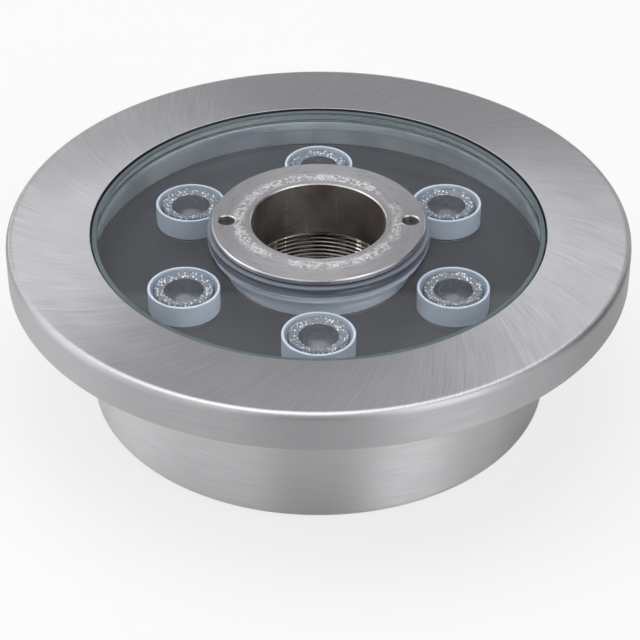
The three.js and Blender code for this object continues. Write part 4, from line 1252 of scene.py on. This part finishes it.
def make_gland():
    """The cable gland, made along +Z and laid along +Y: a hexagonal body, a seal, a bush and a domed cap."""
    height = centre_of("gland_body").z
    tail, mouth = span("gland_body", Y)
    seal_back, seal_front = span("gland_seal_ring", Y)
    cap_back, cap_front = span("gland_cap_nut", Y)
    bush_back, bush_front = span("gland_bush", Y)
    slip_back, slip_front = span("gland_slip_ring", Y)
    gap = 0.3 * MM
    hex_back, hex_front = seal_front + gap, cap_back - gap
    body_flats, cap_flats = 22 * MM, 21 * MM
    thread_radius, bore = 8.0 * MM, 4.5 * MM
    pocket_back = bush_back - gap
    bush_radius = half_width("gland_bush")
    pocket = bush_radius + gap
    pitch = settings("thread").pitch
    steps = int((mouth - hex_front) / pitch * 8)
    tail_radius = thread_radius - 0.05 * MM
    barrel = [(thread_radius, hex_front + (mouth - hex_front) * i / steps) for i in range(steps + 1)]
    outline = [(bore, tail), (tail_radius, tail), (tail_radius, hex_front - MM)]
    outline += barrel + [(pocket, mouth), (pocket, pocket_back), (bore, pocket_back)]

    def threaded(radius, place, angle):
        if abs(radius - thread_radius) > SAME:
            return radius, place
        cut = thread_profile(place / pitch - angle / TURN) * faded(place, hex_front, mouth + 0.4 * MM, pitch)
        return radius - 0.7 * MM * cut, place

    body = revolved("gland_barrel", outline, SMALL_ROUND, threaded)
    nut = prism("gland_hexagon", body_flats, hex_back, hex_front, 0.35 * MM)
    combine(nut, [cylinder("gland_hexagon_hole", thread_radius - 0.2 * MM, hex_back - MM, hex_front + MM)])
    cap = prism("gland_cap", cap_flats, cap_back, cap_front, 0)
    corner = cap_flats / math.sqrt(3)
    clear = 0.2 * MM
    dome_width, dome_height, dome_steps = 4 * MM, 5 * MM, 8
    dome_foot = cap_front - dome_height
    turns = [math.pi / 2 * i / dome_steps for i in range(1, dome_steps + 1)]
    dome_flat = corner - dome_width
    dome = [
        (dome_flat + (dome_width + clear) * math.cos(turn), dome_foot + dome_height * math.sin(turn))
        for turn in turns]
    turned = revolved("gland_cap_dome", [
        (0, cap_back - MM), (corner - 1.6 * MM, cap_back - MM), (corner + clear, cap_back + 0.8 * MM),
        (corner + clear, dome_foot)] + dome + [(0, cap_front)], SMALL_ROUND)
    combine(cap, [turned], "INTERSECT")
    end_wall = cap_front - 1.9 * MM
    beyond = cap_front + 0.3 * MM
    room = revolved("gland_cap_room", [
        (0, cap_back - MM), (GLAND_HOLE_RADIUS, cap_back - MM), (GLAND_HOLE_RADIUS, end_wall),
        (bore, end_wall), (bore, cap_front - 0.5 * MM), (bore + 0.8 * MM, beyond), (0, beyond)], SMALL_ROUND)
    combine(cap, [room])
    bush_hole = 3.2 * MM
    bush = revolved("gland_bush_seal", rounded([
        (bush_hole, bush_back, 0.5 * MM), (bush_radius - MM, bush_back, 0.2 * MM),
        (bush_radius, bush_back + MM, 0.2 * MM), (bush_radius, bush_front, 0.4 * MM),
        (bush_hole, bush_front, 0.6 * MM)], 4), SMALL_ROUND)
    seal = band(
        "gland_seal", GLAND_HOLE_RADIUS, half_width("gland_seal_ring"), seal_back, seal_front,
        0.2 * MM, 0.5 * MM, steps=4, segments=SMALL_ROUND)
    slip = band(
        "gland_slip", bore, half_width("gland_slip_ring"), slip_back, slip_front,
        0.15 * MM, 0.15 * MM, segments=SMALL_ROUND)
    for piece in (body, nut, cap, bush, seal, slip):
        lay_along_y(piece, height)
    present(body, "housing", ["gland_steel"], "gland_steel", "gland_body")
    present(nut, "housing", ["gland_steel"], "gland_steel")
    present(cap, "gland_cap", ["gland_steel"], "gland_steel", "gland_cap_nut")
    present(bush, "housing", ["black_rubber"], "black_rubber", "gland_bush")
    present(seal, "housing", ["black_rubber"], "black_rubber", "gland_seal_ring")
    present(slip, "gland_slip", ["black_plastic"], "black_plastic", "gland_slip_ring")
    dress("gland_lock_nut", "gland_steel")


# ---- studio ----

def softbox(name, place, size, power, target=(0, 0, 0.04)):
    light = bpy.data.lights.new(name, "AREA")
    light.shape = "RECTANGLE"
    light.size, light.size_y = size
    light.energy = power
    lamp = bpy.data.objects.new(name, light)
    lamp.location = place
    lamp.rotation_euler = (Vector(target) - Vector(place)).to_track_quat("-Z", "Y").to_euler()
    bpy.context.scene.collection.objects.link(lamp)


def studio_surface(name, verts, base, lift=0.0):
    """A matt studio surface. lift is how far the camera sees it raised towards white."""
    surface = object_from(name, verts, [(0, 1, 2, 3)])
    painted, tree = new_material(name + "_paint")
    speckle = tree.noise(tree.point(), 40.0, 2.0)
    tone = tree.mixed(tree.ranged(speckle, 0.2, 0.8), base, toned(base, 0.995))
    matt = tree.node("BsdfPrincipled", {"Base Color": tone, "Roughness": 0.9})
    seen = tree.math("MULTIPLY", tree.node("LightPath").outputs["Is Camera Ray"], lift)
    white = tree.node("Emission", {"Color": (1, 1, 1, 1), "Strength": 1.0})
    mix = tree.node("MixShader")
    tree.feed(mix.inputs[0], seen)
    tree.feed(mix.inputs[1], matt.outputs[0])
    tree.feed(mix.inputs[2], white.outputs[0])
    finish_with(tree, mix.outputs[0])
    surface.data.materials.append(painted)
    return surface


def studio_card(name, azimuth, spread, low, high, distance, tone):
    """A flat card that stands round the light and is seen only in reflections. Azimuth 0 is the camera's
    side, and low and high are the card's elevations as seen from the light. Angles are in degrees."""
    turn = math.radians(azimuth - 90)
    middle = Vector((math.cos(turn), math.sin(turn), 0)) * distance
    along = Vector((-math.sin(turn), math.cos(turn), 0)) * distance * math.tan(math.radians(spread / 2))
    bottom, top = [distance * math.tan(math.radians(angle)) for angle in (low, high)]
    left, right = middle - along, middle + along
    corners = ((left, bottom), (right, bottom), (right, top), (left, top))
    verts = [(place.x, place.y, height) for place, height in corners]
    card = studio_surface(name, verts, (tone, tone, tone * 1.03))
    card.visible_camera = False


def make_studio():
    studio = settings("studio")
    scene = bpy.context.scene
    scene.view_settings.view_transform = "Standard"
    reach = 4
    ends = [(-reach, -reach, 0), (reach, -reach, 0), (reach, reach, 0), (-reach, reach, 0)]
    studio_surface("floor", ends, (0.93, 0.93, 0.93), studio.floor_lift)
    studio_card("card_behind", azimuth=180, spread=80, low=12, high=37, distance=1.5, tone=studio.card_behind)
    studio_card("card_high", azimuth=180, spread=80, low=37, high=62, distance=1.5, tone=studio.card_high)
    studio_card("card_front", azimuth=-2, spread=40, low=1, high=60, distance=1.5, tone=studio.card_front)
    studio_card("card_right", azimuth=112, spread=40, low=1, high=60, distance=1.6, tone=studio.card_front)
    softbox("overhead", (-0.12, 0.1, 1.3), (1.1, 1.1), studio.overhead)
    softbox("left", (-1.25, 0.1, 0.7), (0.9, 1.1), studio.left)
    softbox("right", (0.85, -0.9, 0.72), (0.7, 1.0), studio.right)
    world = bpy.data.worlds.new("studio_sky")
    world.use_nodes = True
    scene.world = world
    tree = Tree(world.node_tree)
    path = tree.node("LightPath").outputs
    seen = tree.math("MAXIMUM", path["Is Glossy Ray"], path["Is Transmission Ray"])
    seen = tree.math("MAXIMUM", seen, path["Is Camera Ray"])
    strength = tree.ranged(seen, 0.0, 1.0, studio.sky, 1.0, smooth_step=False)
    sky = tree.node("Background", {"Color": (1, 1, 1, 1), "Strength": strength})
    output = tree.node("OutputWorld")
    tree.feed(output.inputs["Surface"], sky.outputs[0])
    camera = bpy.data.cameras.new("studio_camera")
    camera.lens = studio.lens
    camera.sensor_width = 36
    camera.shift_x = studio.shift
    eye = bpy.data.objects.new("studio_camera", camera)
    eye.location = (0, -studio.distance, FACE_TOP + studio.height)
    eye.rotation_euler = (studio.tilt, 0, 0)
    scene.collection.objects.link(eye)
    scene.camera = eye


# ---- operators and panel ----

class PONDLIGHT_OT_studio(bpy.types.Operator):
    """Make the floor, the softboxes, the sky and the camera"""
    bl_idname = "pond_light.studio"
    bl_label = "Studio"

    def execute(self, context):
        make_studio()
        return {"FINISHED"}


class PONDLIGHT_OT_housing(bpy.types.Operator):
    """Make the face ring, the cup with its boss, the mounting flange and the seat ring"""
    bl_idname = "pond_light.housing"
    bl_label = "Housing"

    def execute(self, context):
        make_face_ring()
        make_cup()
        make_seats()
        return {"FINISHED"}


class PONDLIGHT_OT_centre_tube(bpy.types.Operator):
    """Make the centre tube with its internal thread"""
    bl_idname = "pond_light.centre_tube"
    bl_label = "Centre Tube"

    def execute(self, context):
        make_centre_tube()
        return {"FINISHED"}


class PONDLIGHT_OT_window(bpy.types.Operator):
    """Make the glass and its two gaskets"""
    bl_idname = "pond_light.window"
    bl_label = "Window"

    def execute(self, context):
        make_window()
        return {"FINISHED"}


class PONDLIGHT_OT_clamp(bpy.types.Operator):
    """Make the clamp ring with its spanner holes, and the slip washer under it"""
    bl_idname = "pond_light.clamp"
    bl_label = "Clamp Ring"

    def execute(self, context):
        make_clamp()
        return {"FINISHED"}


class PONDLIGHT_OT_lamps(bpy.types.Operator):
    """Make the six collimator lenses with their holders and LEDs"""
    bl_idname = "pond_light.lamps"
    bl_label = "Lamps"

    def execute(self, context):
        make_lamps()
        return {"FINISHED"}


class PONDLIGHT_OT_potting(bpy.types.Operator):
    """Make the cast resin, and finish the LED board"""
    bl_idname = "pond_light.potting"
    bl_label = "Potting"

    def execute(self, context):
        make_potting()
        return {"FINISHED"}


class PONDLIGHT_OT_driver(bpy.types.Operator):
    """Finish the driver board, its components, the standoffs and the wires"""
    bl_idname = "pond_light.driver"
    bl_label = "Driver"

    def execute(self, context):
        dress_driver()
        return {"FINISHED"}


class PONDLIGHT_OT_gland(bpy.types.Operator):
    """Make the cable gland"""
    bl_idname = "pond_light.gland"
    bl_label = "Cable Gland"

    def execute(self, context):
        make_gland()
        return {"FINISHED"}


OPERATORS = [
    PONDLIGHT_OT_studio,
    PONDLIGHT_OT_housing,
    PONDLIGHT_OT_centre_tube,
    PONDLIGHT_OT_window,
    PONDLIGHT_OT_clamp,
    PONDLIGHT_OT_lamps,
    PONDLIGHT_OT_potting,
    PONDLIGHT_OT_driver,
    PONDLIGHT_OT_gland,
]


class PONDLIGHT_PT_panel(bpy.types.Panel):
    """Lists the light's settings and the operators that make its pieces"""
    bl_label = "Pond Light"
    bl_space_type = "VIEW_3D"
    bl_region_type = "UI"
    bl_category = "Pond Light"

    def draw(self, context):
        for name in SETTING_GROUPS:
            group = getattr(context.scene, name)
            box = self.layout.box()
            box.label(text=name.replace("pond_light_", "").capitalize())
            for key in group.bl_rna.properties.keys():
                if key not in ("rna_type", "name"):
                    box.prop(group, key)
        for kind in OPERATORS:
            self.layout.operator(kind.bl_idname)


CLASSES = [*SETTING_GROUPS.values(), *OPERATORS, PONDLIGHT_PT_panel]


def register():
    for kind in CLASSES:
        bpy.utils.register_class(kind)
    for name, group in SETTING_GROUPS.items():
        setattr(bpy.types.Scene, name, bpy.props.PointerProperty(type=group))


def unregister():
    for name in SETTING_GROUPS:
        delattr(bpy.types.Scene, name)
    for kind in reversed(CLASSES):
        bpy.utils.unregister_class(kind)


def main():
    register()
    for kind in OPERATORS:
        family, name = kind.bl_idname.split(".")
        getattr(getattr(bpy.ops, family), name)()


if __name__ == "__main__":
    main()
